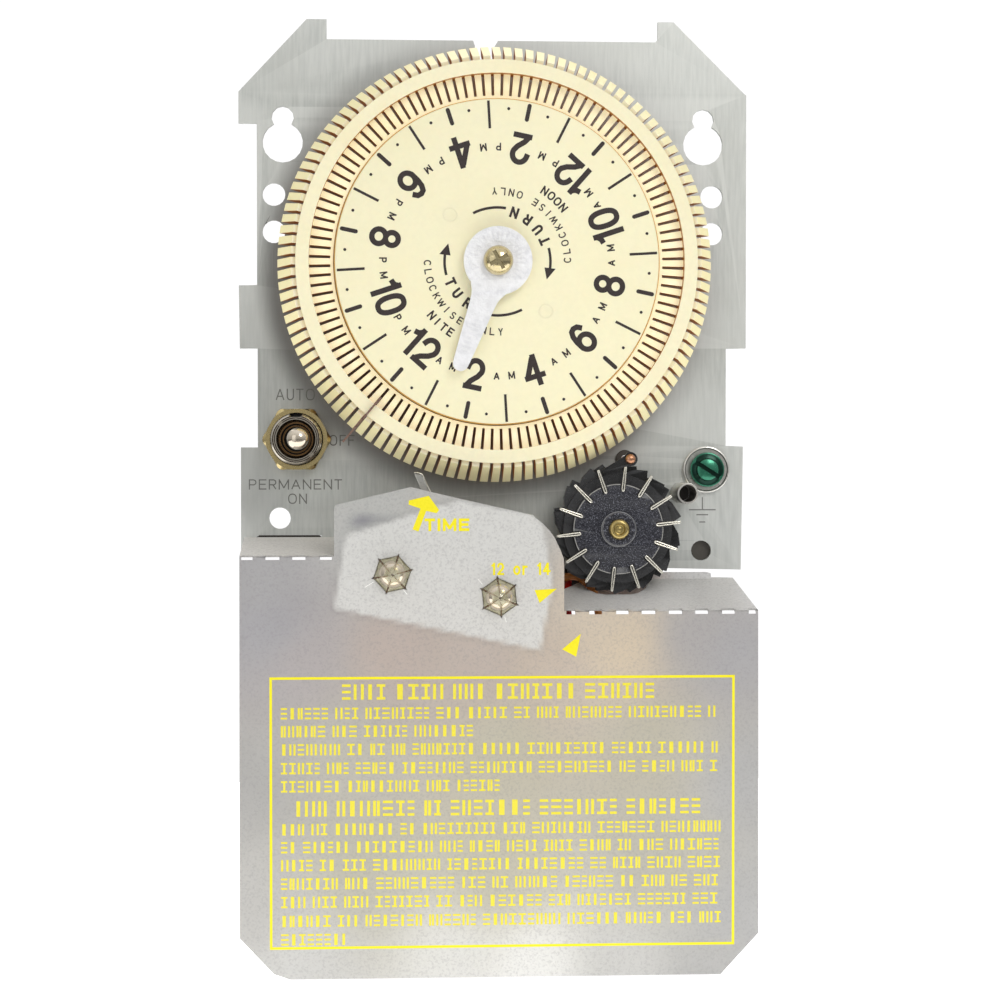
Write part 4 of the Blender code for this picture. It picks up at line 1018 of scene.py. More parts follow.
# ------------------------------------------------------------------------------------------------
# toggle switch; profiles are (radius, height)
# ------------------------------------------------------------------------------------------------
THREAD_PITCH = 0.62
KEYWAY_Z, KEYWAY_HALF = 5.15, 1.1
BUSHING_END = [
    (5.80, 10.0), (5.6, 10.35), (5.5, 10.4), (5.4, 10.2), (5.3, 10.2), (5.22, 10.45),
    (5.05, 10.45), (4.97, 10.22), (4.87, 10.22), (4.79, 10.5), (4.6, 10.5), (4.3, 10.1),
    (4.15, 9.4)]
BORE_RINGS = ((2.9, 4.4), (3.62, 7.2))    # inner radius, top height
TOGGLE_WASHER = [(6.3, 0.3), (7.25, 0.3), (7.3, 0.4), (7.3, 1.0), (7.2, 1.1), (6.3, 1.1)]
NUT_HALF_FLATS = 14.29 / 2
NUT_OUTSIDE = ((1.4, 1.03), (1.75, math.inf), (4.6, 1.12), (5.2, 1.03 * 0.985))
NUT_INSIDE = ((6.25, 5.2), (6.1, 4.9), (6.1, 1.7), (6.25, 1.4))
LEVER_PROFILE = [
    (0.0, 0.8), (0.7, 0.9), (1.3, 1.2), (1.7, 2.0), (1.8, 3.0), (1.7, 4.5), (1.62, 7.0),
    (1.6, 11.0), (1.7, 14.0), (1.85, 17.0), (2.1, 20.5), (2.35, 22.8), (2.48, 24.2), (2.5, 25.0),
    (2.42, 25.8), (2.2, 26.6), (1.85, 27.2), (1.35, 27.6), (0.7, 27.83), (0.0, 27.9)]
LEVER_LEAN, LEVER_LEAN_FROM = 0.04, 3.0


def build_toggle_bushing():
    """A bushing with a rolled thread, a flat at the top and a deep dark bore."""
    profile = [(4.15, -1.2), (5.8, -1.2), (5.8, 0.2)]
    height = 0.4
    while height < 9.7:
        profile += [(5.95, height), (5.95, height + 0.14), (5.68, height + 0.36),
                    (5.68, height + 0.44)]
        height += THREAD_PITCH
    points, faces = turned(profile + BUSHING_END, TOGGLE, 72, ring=True)
    flat_z = TOGGLE[1] + KEYWAY_Z
    points = [(x, y, min(z, flat_z) if abs(x - TOGGLE[0]) < KEYWAY_HALF else z)
              for x, y, z in points]
    make("toggle_bushing_fine", (points, faces), "thread", node="toggle_bushing",
         smooth=40.0)
    seat = turned([(0.0, -0.6), (4.1, -0.6), (4.1, 0.3), (0.0, 0.3)], TOGGLE, 48)
    make("toggle_bore_floor", seat, "bore", smooth=40.0)
    rings = [turned([(radius, top - 0.6), (radius + 0.42, top - 0.6), (radius + 0.36, top),
                     (radius + 0.06, top)], TOGGLE, 48, ring=True) for radius, top in BORE_RINGS]
    make("toggle_bore_rings", joined(*rings), "bore_ring", smooth=40.0)


def build_toggle_nut():
    """A washer, and a hexagon nut with both faces chamfered by a cone."""
    make("toggle_washer_fine", turned(TOGGLE_WASHER, TOGGLE, 64, ring=True), "zinc",
         node="toggle_lock_washer", smooth=40.0)
    count = 96
    points = []
    for height, limit in NUT_OUTSIDE:    # limit: largest radius as a share of the half flats
        for i in range(count):
            degrees = 360.0 * i / count
            hexagon = NUT_HALF_FLATS / math.cos(math.radians(degrees % 60.0 - 30.0))
            radius = min(hexagon, NUT_HALF_FLATS * limit)
            angle = math.radians(degrees)
            points.append((TOGGLE[0] + radius * math.cos(angle), -height,
                           TOGGLE[1] + radius * math.sin(angle)))
    for radius, height in NUT_INSIDE:
        points += [(x, -height, z) for x, z in circle(TOGGLE, radius, count)]
    rows = [list(range(start, start + count)) for start in range(0, len(points), count)]
    make("toggle_nut_fine", (points, skin(rows, ring=True)), "bronze", node="toggle_nut",
         smooth=28.0)


def build_toggle_lever():
    points, faces = turned(LEVER_PROFILE, TOGGLE, 56)
    # the lever leans a little to the right
    points = [(x + max(0.0, -y - LEVER_LEAN_FROM) * LEVER_LEAN, y, z) for x, y, z in points]
    make("toggle_bat", (points, faces), "nickel", "toggle", "toggle_lever", smooth=60.0)


# ------------------------------------------------------------------------------------------------
# ground screw, spacer tube, holes and posts; profiles are (radius, height)
# ------------------------------------------------------------------------------------------------
GROUND_WASHER = [(2.4, 0.3), (5.0, 0.3), (5.4, 0.5), (5.5, 0.7), (5.5, 1.2), (5.35, 1.3),
                 (5.15, 1.3), (4.95, 0.95), (2.4, 0.9)]
GROUND_SCREW = [(0.0, -6.0), (1.2, -6.0), (1.9, -5.4), (1.9, 1.32), (3.9, 1.32), (4.08, 1.45),
                (4.1, 1.7), (4.1, 2.7), (4.0, 2.95), (3.7, 3.05), (2.75, 3.08), (2.62, 3.2),
                (2.55, 3.65), (2.4, 3.78), (0.0, 3.8)]
TUBE_PROFILE = [(2.02, 0.3), (2.48, 0.3), (2.5, 0.4), (2.5, 13.15), (2.42, 13.28), (2.3, 13.3),
                (2.12, 13.3), (2.02, 13.2)]
TUBE_FLOOR = [(0.0, 0.32), (1.95, 0.32), (1.95, 1.2), (0.0, 1.2)]
HOLE_SHADE_DISC = [(0.0, -1.8), (3.2, -1.8), (3.2, -1.3), (0.0, -1.3)]
FILM_SLOT = [(-55.9, -64.3), (-41.3, -64.3), (-40.9, -64.2), (-41.5, -63.75), (-55.7, -63.75),
             (-56.4, -64.2)]    # x, z
POST_PROFILE = [(0.0, -1.2), (1.9, -1.2), (2.0, -1.1), (2.0, 0.3), (4.5, 0.3), (4.6, 0.4),
                (4.6, 17.6), (4.5, 17.7), (3.25, 17.7), (3.2, 17.8), (3.2, 22.4), (3.12, 23.0),
                (2.9, 23.6), (2.5, 24.2), (1.95, 24.65), (1.3, 24.92), (0.65, 25.06), (0.0, 25.1)]


def build_hardware():
    make("ground_washer_fine", turned(GROUND_WASHER, GROUND, 72, ring=True), "zinc",
         node="ground_washer", smooth=40.0)
    screw = make("ground_screw_fine", turned(GROUND_SCREW, GROUND, 72), "green",
                 node="ground_screw", smooth=40.0)
    carve(screw, -32.0, reach=3.4, half=0.5, floor=2.55, at=GROUND)
    make("spacer_tube_fine", turned(TUBE_PROFILE, TUBE, 64, ring=True), "zinc",
         node="spacer_tube", smooth=40.0)
    make("tube_floor", turned(TUBE_FLOOR, TUBE, 40), "bore", smooth=40.0)
    # painted shade: a dark disc behind the lower hole in the plate
    make("lower_hole_shade", turned(HOLE_SHADE_DISC, LOWER_HOLE, 40), "hole",
         smooth=40.0)
    # painted shadow: a dark slab in the plate slot where the film's tab goes in
    make("film_slot_shadow", slab(FILM_SLOT, -0.9, 0.12), "bore", smooth=0.0)
    for node, at in (("post_left", POST_LEFT), ("post_right", POST_RIGHT)):
        make(node + "_fine", turned(POST_PROFILE, at, 64), "nickel", node=node,
             smooth=45.0)


# ------------------------------------------------------------------------------------------------
# day wheel; profiles are (radius, height)
# ------------------------------------------------------------------------------------------------
DAY_PINS = 14
FIRST_PIN = 6.5      # angle of the first pin
PIN_H = 14.0
DAY_RIVET = [(0.0, -1.2), (1.9, -1.2), (1.9, 0.3), (3.9, 0.3), (4.0, 0.4), (4.0, 5.4),
             (3.9, 5.5), (2.0, 5.5), (2.0, 14.7), (2.35, 14.7), (2.42, 14.85), (2.4, 15.2),
             (2.25, 15.6), (1.95, 15.88), (1.6, 16.0), (1.35, 15.95), (1.2, 15.7), (1.1, 15.35),
             (0.85, 15.25), (0.6, 15.3), (0.3, 15.42), (0.0, 15.45)]
DETENT_RIVET = [(0.0, -1.2), (0.8, -1.2), (0.8, 12.2), (1.15, 12.2), (1.2, 12.35),
                (1.15, 12.75), (0.9, 13.1), (0.5, 13.33), (0.0, 13.4)]
DETENT_COLLAR = [(0.95, 0.1), (2.2, 0.1), (2.2, 0.5), (2.1, 0.6), (0.95, 0.6)]
BOSS_RING = [(3.95, 13.9), (4.15, 13.9), (4.15, 14.0), (3.95, 14.12)]
PIN_SIDE = [  # reach from the wheel axis, distance from the pin's middle line
    (14.62, 0.10), (14.2, 0.17), (12.6, 0.22), (10.4, 0.26), (9.4, 0.26), (9.05, 0.17)]
PIN_FOLD = [(8.95, 0.0)]
PIN_SHOE = ((13.9, -0.17), (14.62, -0.08), (14.62, 0.08), (13.9, 0.17))


def build_skip_pin(number, degrees):
    """A wire folded back on itself: rounded inner end, tapering to a closed tip."""
    angle = math.radians(degrees)
    along = Vector((math.cos(angle), math.sin(angle)))
    side = Vector((-along.y, along.x))

    def on_pin(stations):
        return [tuple(Vector(DAY) + along * reach + side * across) for reach, across in stations]

    back = [(reach, -across) for reach, across in reversed(PIN_SIDE)]
    path = [(x, PIN_H, z) for x, z in on_pin(PIN_SIDE + PIN_FOLD + back)]
    radii = [0.09] + [0.165] * (len(path) - 2) + [0.09]
    shape = joined(cable(path, radii, sides=10, steps=4), slab(on_pin(PIN_SHOE), 13.85, 14.12))
    make(f"skip_pin_wire_{number:02d}", shape, "pin", f"pin_{number:02d}",
         f"skip_pin_{number:02d}", smooth=50.0)


def build_day_wheel():
    make("day_wheel_rivet", turned(DAY_RIVET, DAY, 56), "olive", node="day_wheel_shaft",
         smooth=45.0)
    make("detent_rivet", turned(DETENT_RIVET, DETENT_POST, 40), "copper", node="detent_post",
         smooth=50.0)
    make("detent_collar", turned(DETENT_COLLAR, DETENT_POST, 40, ring=True), "hole",
         smooth=40.0)
    make("day_disc_boss_ring", turned(BOSS_RING, DAY, 64, ring=True), "disc", "day_wheel",
         smooth=40.0)
    angles = [FIRST_PIN + 360.0 * i / DAY_PINS for i in range(DAY_PINS)]
    # thin rim pieces between the pins
    rims = [slab(arc(DAY, 10.52, angle + 3.9, angle + 21.8, 10)
                 + arc(DAY, 10.34, angle + 21.8, angle + 3.9, 10), 13.1, 13.38)
            for angle in angles]
    make("day_disc_rim", joined(*rims), "zinc", "day_wheel", smooth=40.0)
    for number, angle in enumerate(angles, 1):
        build_skip_pin(number, angle)


# ------------------------------------------------------------------------------------------------
# wires and the bright edge of the trip lever; paths are (x, height, z)
# ------------------------------------------------------------------------------------------------
WIRE_R = 0.93
ORANGE_PATH = [(12.0, 6.0, -84.6), (12.6, 5.5, -78.6), (15.4, 4.6, -74.4), (19.5, 4.4, -73.6),
               (23.2, 4.2, -76.6), (24.6, 4.2, -82.0), (26.0, 8.0, -91.5)]
RED_PATH = [(17.6, -4.0, -73.5), (17.5, 1.0, -74.6), (17.2, 5.5, -77.2), (17.0, 8.0, -82.0),
            (18.0, 10.5, -90.0), (18.0, 11.2, -93.5)]
LEVER_EDGE_PATH = [(-19.2, 10.95, -48.85), (-17.5, 10.95, -49.2), (-16.6, 10.95, -51.0),
                   (-15.3, 10.95, -53.7)]


def build_wires():
    for colour, path in (("orange", ORANGE_PATH), ("red", RED_PATH)):
        make(f"wire_{colour}_fine", cable(path, WIRE_R, sides=20), colour,
             node=f"wire_{colour}", smooth=60.0)
    make("trip_lever_edge", cable(LEVER_EDGE_PATH, 0.26, sides=12, steps=4), "zinc", "trip",
         smooth=60.0)
    # painted shade: a dark slab behind the wires, where only shade shows
    make("wire_shade", slab(box(14.0, 31.0, -80.6, -71.2), 0.1, 0.5), "bore",
         smooth=0.0)


# ------------------------------------------------------------------------------------------------
# insulator sheet: frosted film in front, with two flaps folded back to the plate
# ------------------------------------------------------------------------------------------------
TONES = (  # x, z, screen colour: where the hidden pieces show through the film
    (-55.0, -72.0, (176, 174, 175)), (-52.0, -85.0, (170, 168, 172)),
    (-45.0, -92.0, (182, 174, 173)), (-24.0, -91.0, (194, 178, 168)),
    (-5.0, -93.0, (198, 184, 174)), (12.0, -93.0, (206, 190, 174)),
    (28.0, -89.0, (226, 208, 182)), (26.0, -84.0, (214, 198, 176)),
    (45.0, -86.0, (180, 176, 175)), (54.0, -90.0, (178, 176, 178)),
    (57.5, -120.0, (184, 183, 182)), (-57.0, -120.0, (181, 179, 176)),
    (-35.0, -112.0, (194, 190, 178)), (0.0, -112.0, (198, 192, 172)),
    (35.0, -112.0, (196, 190, 172)), (-30.0, -140.0, (192, 188, 172)),
    (0.0, -142.0, (196, 191, 172)), (38.0, -140.0, (190, 186, 172)),
    (-45.0, -161.0, (212, 211, 208)), (-10.0, -161.0, (228, 227, 223)),
    (8.0, -162.0, (240, 239, 236)), (28.0, -162.0, (206, 205, 202)),
    (48.0, -162.0, (185, 184, 182)), (-56.0, -150.0, (196, 194, 190)),
    (56.5, -150.0, (182, 181, 180)), (-30.0, -60.0, (192, 192, 188)),
    (0.0, -60.0, (196, 195, 192)),
)
FRONT_TONE, FLAP_TONE = 0.83, 1.26    # brightness of the front and of the flaps
# bright area where the switch cover shows through, clockwise
COVER = [(-35.0, -62.9), (-9.3, -55.1), (8.0, -58.5), (10.2, -61.0), (12.3, -74.3), (9.5, -89.5),
         (-37.7, -79.7)]
COVER_COLOUR = (230, 229, 225)

FILM_LEFT, LEFT_FLAP_END = -59.2, -37.7
RIGHT_FLAP_START, FILM_RIGHT = 15.0, 59.9
FOLD_LEFT_Z, FOLD_RIGHT_Z = -68.0, -80.7
FLAP_LEFT_Z, FLAP_RIGHT_Z = -64.4, -74.2    # where the flaps reach the plate
FLAP_END_H = 0.75
# notches along the folds, from x to x
LEFT_DASHES = [(-58.8, -56.2), (-53.3, -50.1), (-47.2, -44.2), (-40.9, -38.2)]
RIGHT_DASHES = [(15.5, 17.6), (20.8, 23.75), (27.0, 29.9), (32.9, 36.1), (39.2, 42.3),
                (45.3, 48.3), (51.5, 54.5), (57.7, 59.4)]
# top of the front between the two flaps, x and z
FRONT_TOP = [
    (-37.7, -57.4), (-37.55, -56.6), (-37.3, -56.1), (-36.7, -55.95), (-20.9, -52.15),
    (-20.2, -52.0), (-19.4, -52.15), (-16.1, -53.0), (-6.6, -55.2), (6.3, -58.1), (8.6, -59.2),
    (10.1, -60.4), (11.6, -62.0), (12.8, -63.6), (14.2, -66.6), (14.9, -68.5), (15.0, -70.5)]
FRONT_BOTTOM = [(60.1, -155.2), (51.3, -164.7), (-47.8, -164.7), (-51.5, -163.4),
                (-59.3, -155.1)]
# opening of the right flap round the day wheel: x from its axis, share of the flap length
WHEEL_ARCH = ((8.4, 1.0), (8.0, 0.84), (7.0, 0.66), (5.0, 0.52), (3.0, 0.48), (-3.0, 0.48),
              (-5.0, 0.52), (-7.0, 0.66), (-8.0, 0.82), (-8.2, 0.86))
STAR_R, STAR_SLIT_R = 4.3, 5.0
# name, post, angle of the first slit, two glints from (x, z) to (x, z) off the post axis
STARS = (
    ("left", POST_LEFT, 12.0, (((-4.3, -1.8), (-6.3, -3.0)), ((2.5, -3.6), (3.4, -4.7)))),
    ("right", POST_RIGHT, 36.0, (((-3.9, 2.9), (-4.9, 4.1)), ((1.2, -4.5), (1.6, -5.8)))),
)
FLAP_EDGE_ROWS = [(4.6, -79.7), (3.9, -78.4), (2.9, -76.6), (1.9, -74.9), (1.1, -73.6),
                  (0.75, -72.7)]    # height, z


def depth_in_cover(x, z):
    """Signed distance into the cover area, positive inside."""
    depths = []
    for (ax, az), (bx, bz) in zip(COVER, COVER[1:] + COVER[:1]):
        length = math.hypot(bx - ax, bz - az)
        depths.append(((bz - az) * (x - ax) - (bx - ax) * (z - az)) / length)
    return min(depths)


def tone_at(x, z):
    """Linear colour of the front: blended tones, the cover with its dark rim, and a painted
    shadow.
    """
    total, blend = 0.0, [0.0, 0.0, 0.0]
    for tone_x, tone_z, colour in TONES:
        weight = 1.0 / (((x - tone_x) ** 2 + (z - tone_z) ** 2) + 30.0) ** 1.7
        total += weight
        for i in range(3):
            blend[i] += weight * colour[i]
    blend = [c / total for c in blend]
    depth = depth_in_cover(x, z)
    share = min(1.0, max(0.0, depth / 0.7 + 0.5)) * 0.92
    rim = math.exp(-((depth + 0.6) / 0.6) ** 2) * 0.05
    blend = [(c + (cover - c) * share) * (1.0 - rim) for c, cover in zip(blend, COVER_COLOUR)]
    # painted shadow: two soft dark spots near the top left of the cover, the first one sloping
    painted_shadow = 0.46 * math.exp(-((x + 31.5) / 2.6) ** 2
                             - ((z + 59.7 - 0.12 * (x + 31.5)) / 1.5) ** 2)
    painted_shadow += 0.24 * math.exp(-((x + 27.0) / 3.2) ** 2 - ((z + 59.3) / 0.9) ** 2)
    strengths = (1.0, 1.0, 0.86)    # for red, green and blue
    return tuple(c * FRONT_TONE * (1.0 - painted_shadow * k) for c, k in zip(linear(*blend), strengths))


def paint(mesh, tones):
    layer = mesh.color_attributes.new("tone", "FLOAT_COLOR", "POINT")
    for i, tone in enumerate(tones):
        layer.data[i].color = (*tone, 1.0)


def notched(z, dashes, depth):
    out = []
    for start, end in dashes:
        out += [(start, z), (start, z - depth), (end, z - depth), (end, z)]
    return out


def gridded(loops, step):
    """Fills the loops and splits them on a square grid, as flat points and faces."""
    work = bmesh.new()
    flat = [point for loop in loops for point in loop]
    verts = [work.verts.new((x, z, 0.0)) for x, z in flat]
    for cap in tessellate_polygon([[Vector((x, z, 0.0)) for x, z in loop] for loop in loops]):
        if len(set(cap)) == 3:
            work.faces.new([verts[i] for i in cap])
    bmesh.ops.dissolve_limit(work, angle_limit=0.01, verts=work.verts, edges=work.edges)
    for axis in (0, 1):
        value = min(point[axis] for point in flat) + step
        high = max(point[axis] for point in flat)
        while value < high - step * 0.3:
            place, normal = [0.0, 0.0, 0.0], [0.0, 0.0, 0.0]
            place[axis], normal[axis] = value, 1.0
            bmesh.ops.bisect_plane(work, geom=work.verts[:] + work.edges[:] + work.faces[:],
                                   dist=1e-5, plane_co=place, plane_no=normal)
            value += step
    bmesh.ops.triangulate(work, faces=[face for face in work.faces if len(face.verts) > 4])
    work.verts.index_update()
    points = [(v.co.x, v.co.y) for v in work.verts]
    faces = [tuple(v.index for v in face.verts) for face in work.faces]
    work.free()
    return points, faces


def star_hole(at, phase):
    """A round hole with six pointed slits."""
    hole = []
    for i in range(6):
        for offset, radius in ((-4.0, STAR_R), (0.0, STAR_SLIT_R), (4.0, STAR_R)):
            angle = math.radians(phase + 60.0 * i + offset)
            hole.append((at[0] + radius * math.cos(angle), at[1] + radius * math.sin(angle)))
    return hole


def sheet_front():
    outline = [(FILM_LEFT, FOLD_LEFT_Z)] + notched(FOLD_LEFT_Z, LEFT_DASHES, 0.6)
    outline += [(LEFT_FLAP_END, FOLD_LEFT_Z)] + FRONT_TOP + [(RIGHT_FLAP_START, FOLD_RIGHT_Z)]
    outline += notched(FOLD_RIGHT_Z, RIGHT_DASHES, 0.6) + [(FILM_RIGHT, FOLD_RIGHT_Z)]
    outline += FRONT_BOTTOM
    holes = [star_hole(at, phase) for _, at, phase, _ in STARS]
    flat, faces = gridded([outline] + holes, 1.0)
    return ([(x, -SHEET_H, z) for x, z in flat], faces), [tone_at(x, z) for x, z in flat]


def flap_length(fold_z, end_z):
    return math.hypot(end_z - fold_z, SHEET_H - FLAP_END_H)


def fold_edge(start, dashes, end):
    """The notched edge of a flap along its fold."""
    return [(start, 0.0)] + [(x, -v) for x, v in notched(0.0, dashes, 1.2)] + [(end, 0.0)]


def flap(outline, fold_z, end_z, rgb):
    """A flap given by x and the distance down from its fold."""
    length = flap_length(fold_z, end_z)
    flat, faces = gridded([outline], 2.0)
    points, tones = [], []
    for x, down in flat:
        t = down / length
        points.append((x, -(SHEET_H + (FLAP_END_H - SHEET_H) * t), fold_z + (end_z - fold_z) * t))
        fade = 0.90 + 0.10 * math.sin(x * 0.21) * (1 - t)
        tones.append(tuple(c * fade * FLAP_TONE for c in linear(*rgb)))
    return (points, faces), tones


def left_flap():
    length = flap_length(FOLD_LEFT_Z, FLAP_LEFT_Z)
    outline = fold_edge(FILM_LEFT, LEFT_DASHES, LEFT_FLAP_END)
    outline += [(-38.0, length), (FILM_LEFT, length)]
    return flap(outline, FOLD_LEFT_Z, FLAP_LEFT_Z, (196, 193, 188))


def right_flap():
    length = flap_length(FOLD_RIGHT_Z, FLAP_RIGHT_Z)
    outline = fold_edge(RIGHT_FLAP_START, RIGHT_DASHES, FILM_RIGHT)
    outline += [(57.2, length * 0.985), (53.0, length)]
    outline += [(DAY[0] + x, length * share) for x, share in WHEEL_ARCH]
    outline += [(16.2, length * 0.65), (RIGHT_FLAP_START, length * 0.62)]
    return flap(outline, FOLD_RIGHT_Z, FLAP_RIGHT_Z, (190, 188, 185))


def build_sheet():
    parts = [sheet_front(), left_flap(), right_flap()]
    mesh = meshed("insulator_sheet_film", joined(*[shape for shape, _ in parts]))
    paint(mesh, [tone for _, tones in parts for tone in tones])
    tidy(mesh, weld=2e-6)
    mesh.materials.append(LOOK["film"].material)
    mesh.shade_smooth()
    obj = linked("insulator_sheet_film", mesh)
    thick = obj.modifiers.new("thickness", "SOLIDIFY")
    thick.thickness = SHEET_T * MM
    thick.offset = 0.0
    thick.use_even_offset = True
    thick.use_rim = True
    rounded(obj, 0.14, angle=35.0, miter="MITER_SHARP")
    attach(obj, "frame")
    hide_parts("insulator_sheet")


def build_flap_edge():
    """The free edge of the right flap, which passes behind the day wheel."""
    left, right, steps = 20.7, 51.9, 26
    xs = [left + (right - left) * i / steps for i in range(steps + 1)]
    points = []
    for thick in (0.0, 0.3):
        for height, z in FLAP_EDGE_ROWS:
            for x in xs:
                drop = 0.25 if x > 51.0 and height < 1.0 else 0.0    # clipped upper right corner
                points.append((x, -(height + thick), z - drop))
    faces = double_skin(len(FLAP_EDGE_ROWS), len(xs))
    obj = make("film_flap_edge", (points, faces), "film", smooth=60.0, weld=0)
    warm, cool = linear(208, 186, 176), linear(192, 191, 190)
    tones = []
    for vertex in obj.data.vertices:
        x = (vertex.co.x - DIAL.x) / MM
        t = min(1.0, max(0.0, (x - 30.0) / 14.0))
        tones.append([FLAP_TONE * (a + (b - a) * t) for a, b in zip(warm, cool)])
    paint(obj.data, tones)


def star_petal(at, rows, start, end):
    """One pointed flap of film between two angles, bent forward along rows of radius, height."""
    points = []
    for thick in (0.0, 0.14):
        for radius, height in rows:
            for share, pull in ((0.0, 1.0), (0.5, 0.87), (1.0, 1.0)):
                angle = math.radians(start + (end - start) * share)
                reach = radius * pull
                points.append((at[0] + reach * math.cos(angle), -(height + thick),
                               at[1] + reach * math.sin(angle)))
    return points, double_skin(len(rows), 3)


def build_petals():
    """Six pointed flaps pushed up by each post, with dark slits between and painted glints at the
    slit ends.
    """
    rows = []
    for k in range(6):
        t = k / 5.0
        height = SHEET_H + (25.55 - SHEET_H) * (1 - (1 - t) ** 1.7)
        rows.append((STAR_R * (1 - t) + 0.35 * t, height))
    for side_name, at, phase, glint_lines in STARS:
        petals, slits, glints = [], [], []
        for i in range(6):
            start = phase + 60.0 * i
            petals.append(star_petal(at, rows, start + 3.0, start + 57.0))
            c, s = math.cos(math.radians(start)), math.sin(math.radians(start))
            path = [(at[0] + (radius + 0.1) * c, height + 0.17, at[1] + (radius + 0.1) * s)
                    for radius, height in rows[:-1]]
            slits.append(cable(path, 0.07, sides=6, steps=2))
        # painted glints: short pale strips at the slit ends
        for inner, outer in glint_lines:
            way = (Vector(outer) - Vector(inner)).normalized() * 0.07
            side = Vector((-way.y, way.x))
            start, end = Vector(at) + Vector(inner), Vector(at) + Vector(outer)
            corners = (start - side, end - side, end + side, start + side)
            glints.append(slab([tuple(corner) for corner in corners], 21.72, 21.8))
        name = "star_flaps_" + side_name
        make(name, joined(*petals), "clear", smooth=30.0)
        make(name + "_slits", joined(*slits), "slit", smooth=50.0)
        make(name + "_slit_end_glints", joined(*glints), "slit_white", smooth=0.0)


# ------------------------------------------------------------------------------------------------
# print on the sheet
# ------------------------------------------------------------------------------------------------
FILM_PRINT_LOW = SHEET_H + SHEET_T / 2 - 0.02
FILM_PRINT_TOP = SHEET_H + SHEET_T / 2 + 0.02
BORDER_LEFT, BORDER_RIGHT, BORDER_TOP, BORDER_BOTTOM = -52.15, 54.18, -95.68, -157.51
BORDER_HALF = 0.59 / 2
FILM_TRIANGLES = (((8.19, -75.64), (13.32, -75.35), (9.34, -78.64)),
                  ((18.83, -85.73), (14.55, -89.3), (17.78, -91.03)))
# large and small rows of the notice: left, right, middle z
LARGE_ROWS = ((-35.92, 37.72, -98.85), (-46.67, 49.15, -125.56))
SMALL_LEFT, SMALL_RIGHT = -49.87, 52.12
SMALL_ROWS = (-103.73, -107.84, -112.0, -116.3, -120.46, -130.3, -134.41, -138.53, -142.76,
              -146.99, -151.34, -155.57)
SHORT_ROWS = {1: -5.73, 4: 0.21, 11: -33.86}    # row number: its right end


def on_film(outline):
    return slab(outline, FILM_PRINT_LOW, FILM_PRINT_TOP)


def border():
    left, right = BORDER_LEFT - BORDER_HALF, BORDER_RIGHT + BORDER_HALF
    bars = [box(left, right, z - BORDER_HALF, z + BORDER_HALF)
            for z in (BORDER_TOP, BORDER_BOTTOM)]
    bars += [box(x - BORDER_HALF, x + BORDER_HALF, BORDER_BOTTOM + BORDER_HALF,
                 BORDER_TOP - BORDER_HALF) for x in (BORDER_LEFT, BORDER_RIGHT)]
    return [on_film(bar) for bar in bars]


def trip_arrow():
    """The arrow to the trip position."""
    tip, tail = Vector((-16.07, -53.99)), Vector((-19.11, -61.92))
    left, right = Vector((-20.62, -55.06)), Vector((-13.69, -57.26))
    line = (tip - tail).normalized()
    side = Vector((-line.y, line.x))
    neck = tip - line * 2.55
    back, barb, half = line * 0.9, side * 0.3, side * 0.72
    outline = [tip, right, right - back + barb, neck - half - back, tail - half, tail + half,
               neck + half - back, left - back - barb, left]
    return on_film([tuple(point) for point in reversed(outline)])


def notice_row(chance, left, right, middle, high, unit):
    """Plain marks that stand in for letters, grouped like words."""
    low, top = middle - high / 2, middle + high / 2
    stroke = unit * 0.27
    level = stroke * 0.9
    marks = []
    x = left
    while x < right - unit:
        for _ in range(chance.choice((2, 3, 3, 4, 5, 6, 7, 8, 9))):
            wide = unit * chance.choice((0.62, 0.78, 0.78, 0.92))
            if x + wide > right:
                break
            kind = chance.randrange(4)
            if kind == 0:      # two uprights
                marks += [box(x, x + stroke, low, top), box(x + wide - stroke, x + wide, low, top)]
            elif kind == 1:    # two level bars and an upright
                upright = x + wide * 0.36
                marks += [box(x, x + wide, top - level, top), box(x, x + wide, low, low + level),
                          box(upright, upright + stroke, low + level, top - level)]
            elif kind == 2:    # three level bars
                for k in range(3):
                    z = low + (high - level) * k / 2
                    marks.append(box(x, x + wide, z, z + level))
            else:              # one wide upright
                marks.append(box(x + wide * 0.2, x + wide * 0.75, low, top))
            x += wide + unit * 0.26
        x += unit * 0.62
    return [on_film(mark) for mark in marks]


def build_sheet_print():
    chance = random.Random(3)
    notice = []
    for left, right, z in LARGE_ROWS:
        notice += notice_row(chance, left, right, z, high=3.55, unit=2.55)
    for number, z in enumerate(SMALL_ROWS):
        right = SHORT_ROWS.get(number, SMALL_RIGHT)
        notice += notice_row(chance, SMALL_LEFT, right, z, high=2.63, unit=1.85)
    make("sheet_notice", joined(*notice), "notice_ink", smooth=0.0, weld=0)

    heights = (FILM_PRINT_LOW, FILM_PRINT_TOP)
    shapes = border()
    shapes.append(boxed("TIME", -17.03, -6.78, -62.08, -59.18, *heights, stroke=0.66, gap=0.55))
    shapes.append(boxed("12 or 14", -1.9, 11.85, -72.2, -69.35, *heights, stroke=0.5, gap=0.42))
    shapes.append(trip_arrow())
    shapes += [on_film(list(triangle)) for triangle in FILM_TRIANGLES]
    make("sheet_print", joined(*shapes), "yellow_ink", smooth=0.0, weld=0)


# ------------------------------------------------------------------------------------------------
# floor, light, camera; places are in metres, from the dial axis but for the floor
# ------------------------------------------------------------------------------------------------
FLOOR_Z = -0.0006
FLOOR_CORNERS = ((-0.5, -0.22), (0.5, -0.22), (0.5, 0.30), (-0.5, 0.30))
# grey of the surroundings from straight down (0) to straight up (1)
SKY_STEPS = ((0.34, 0.34), (0.44, 0.18), (0.50, 0.44), (0.60, 0.50), (0.78, 0.72))


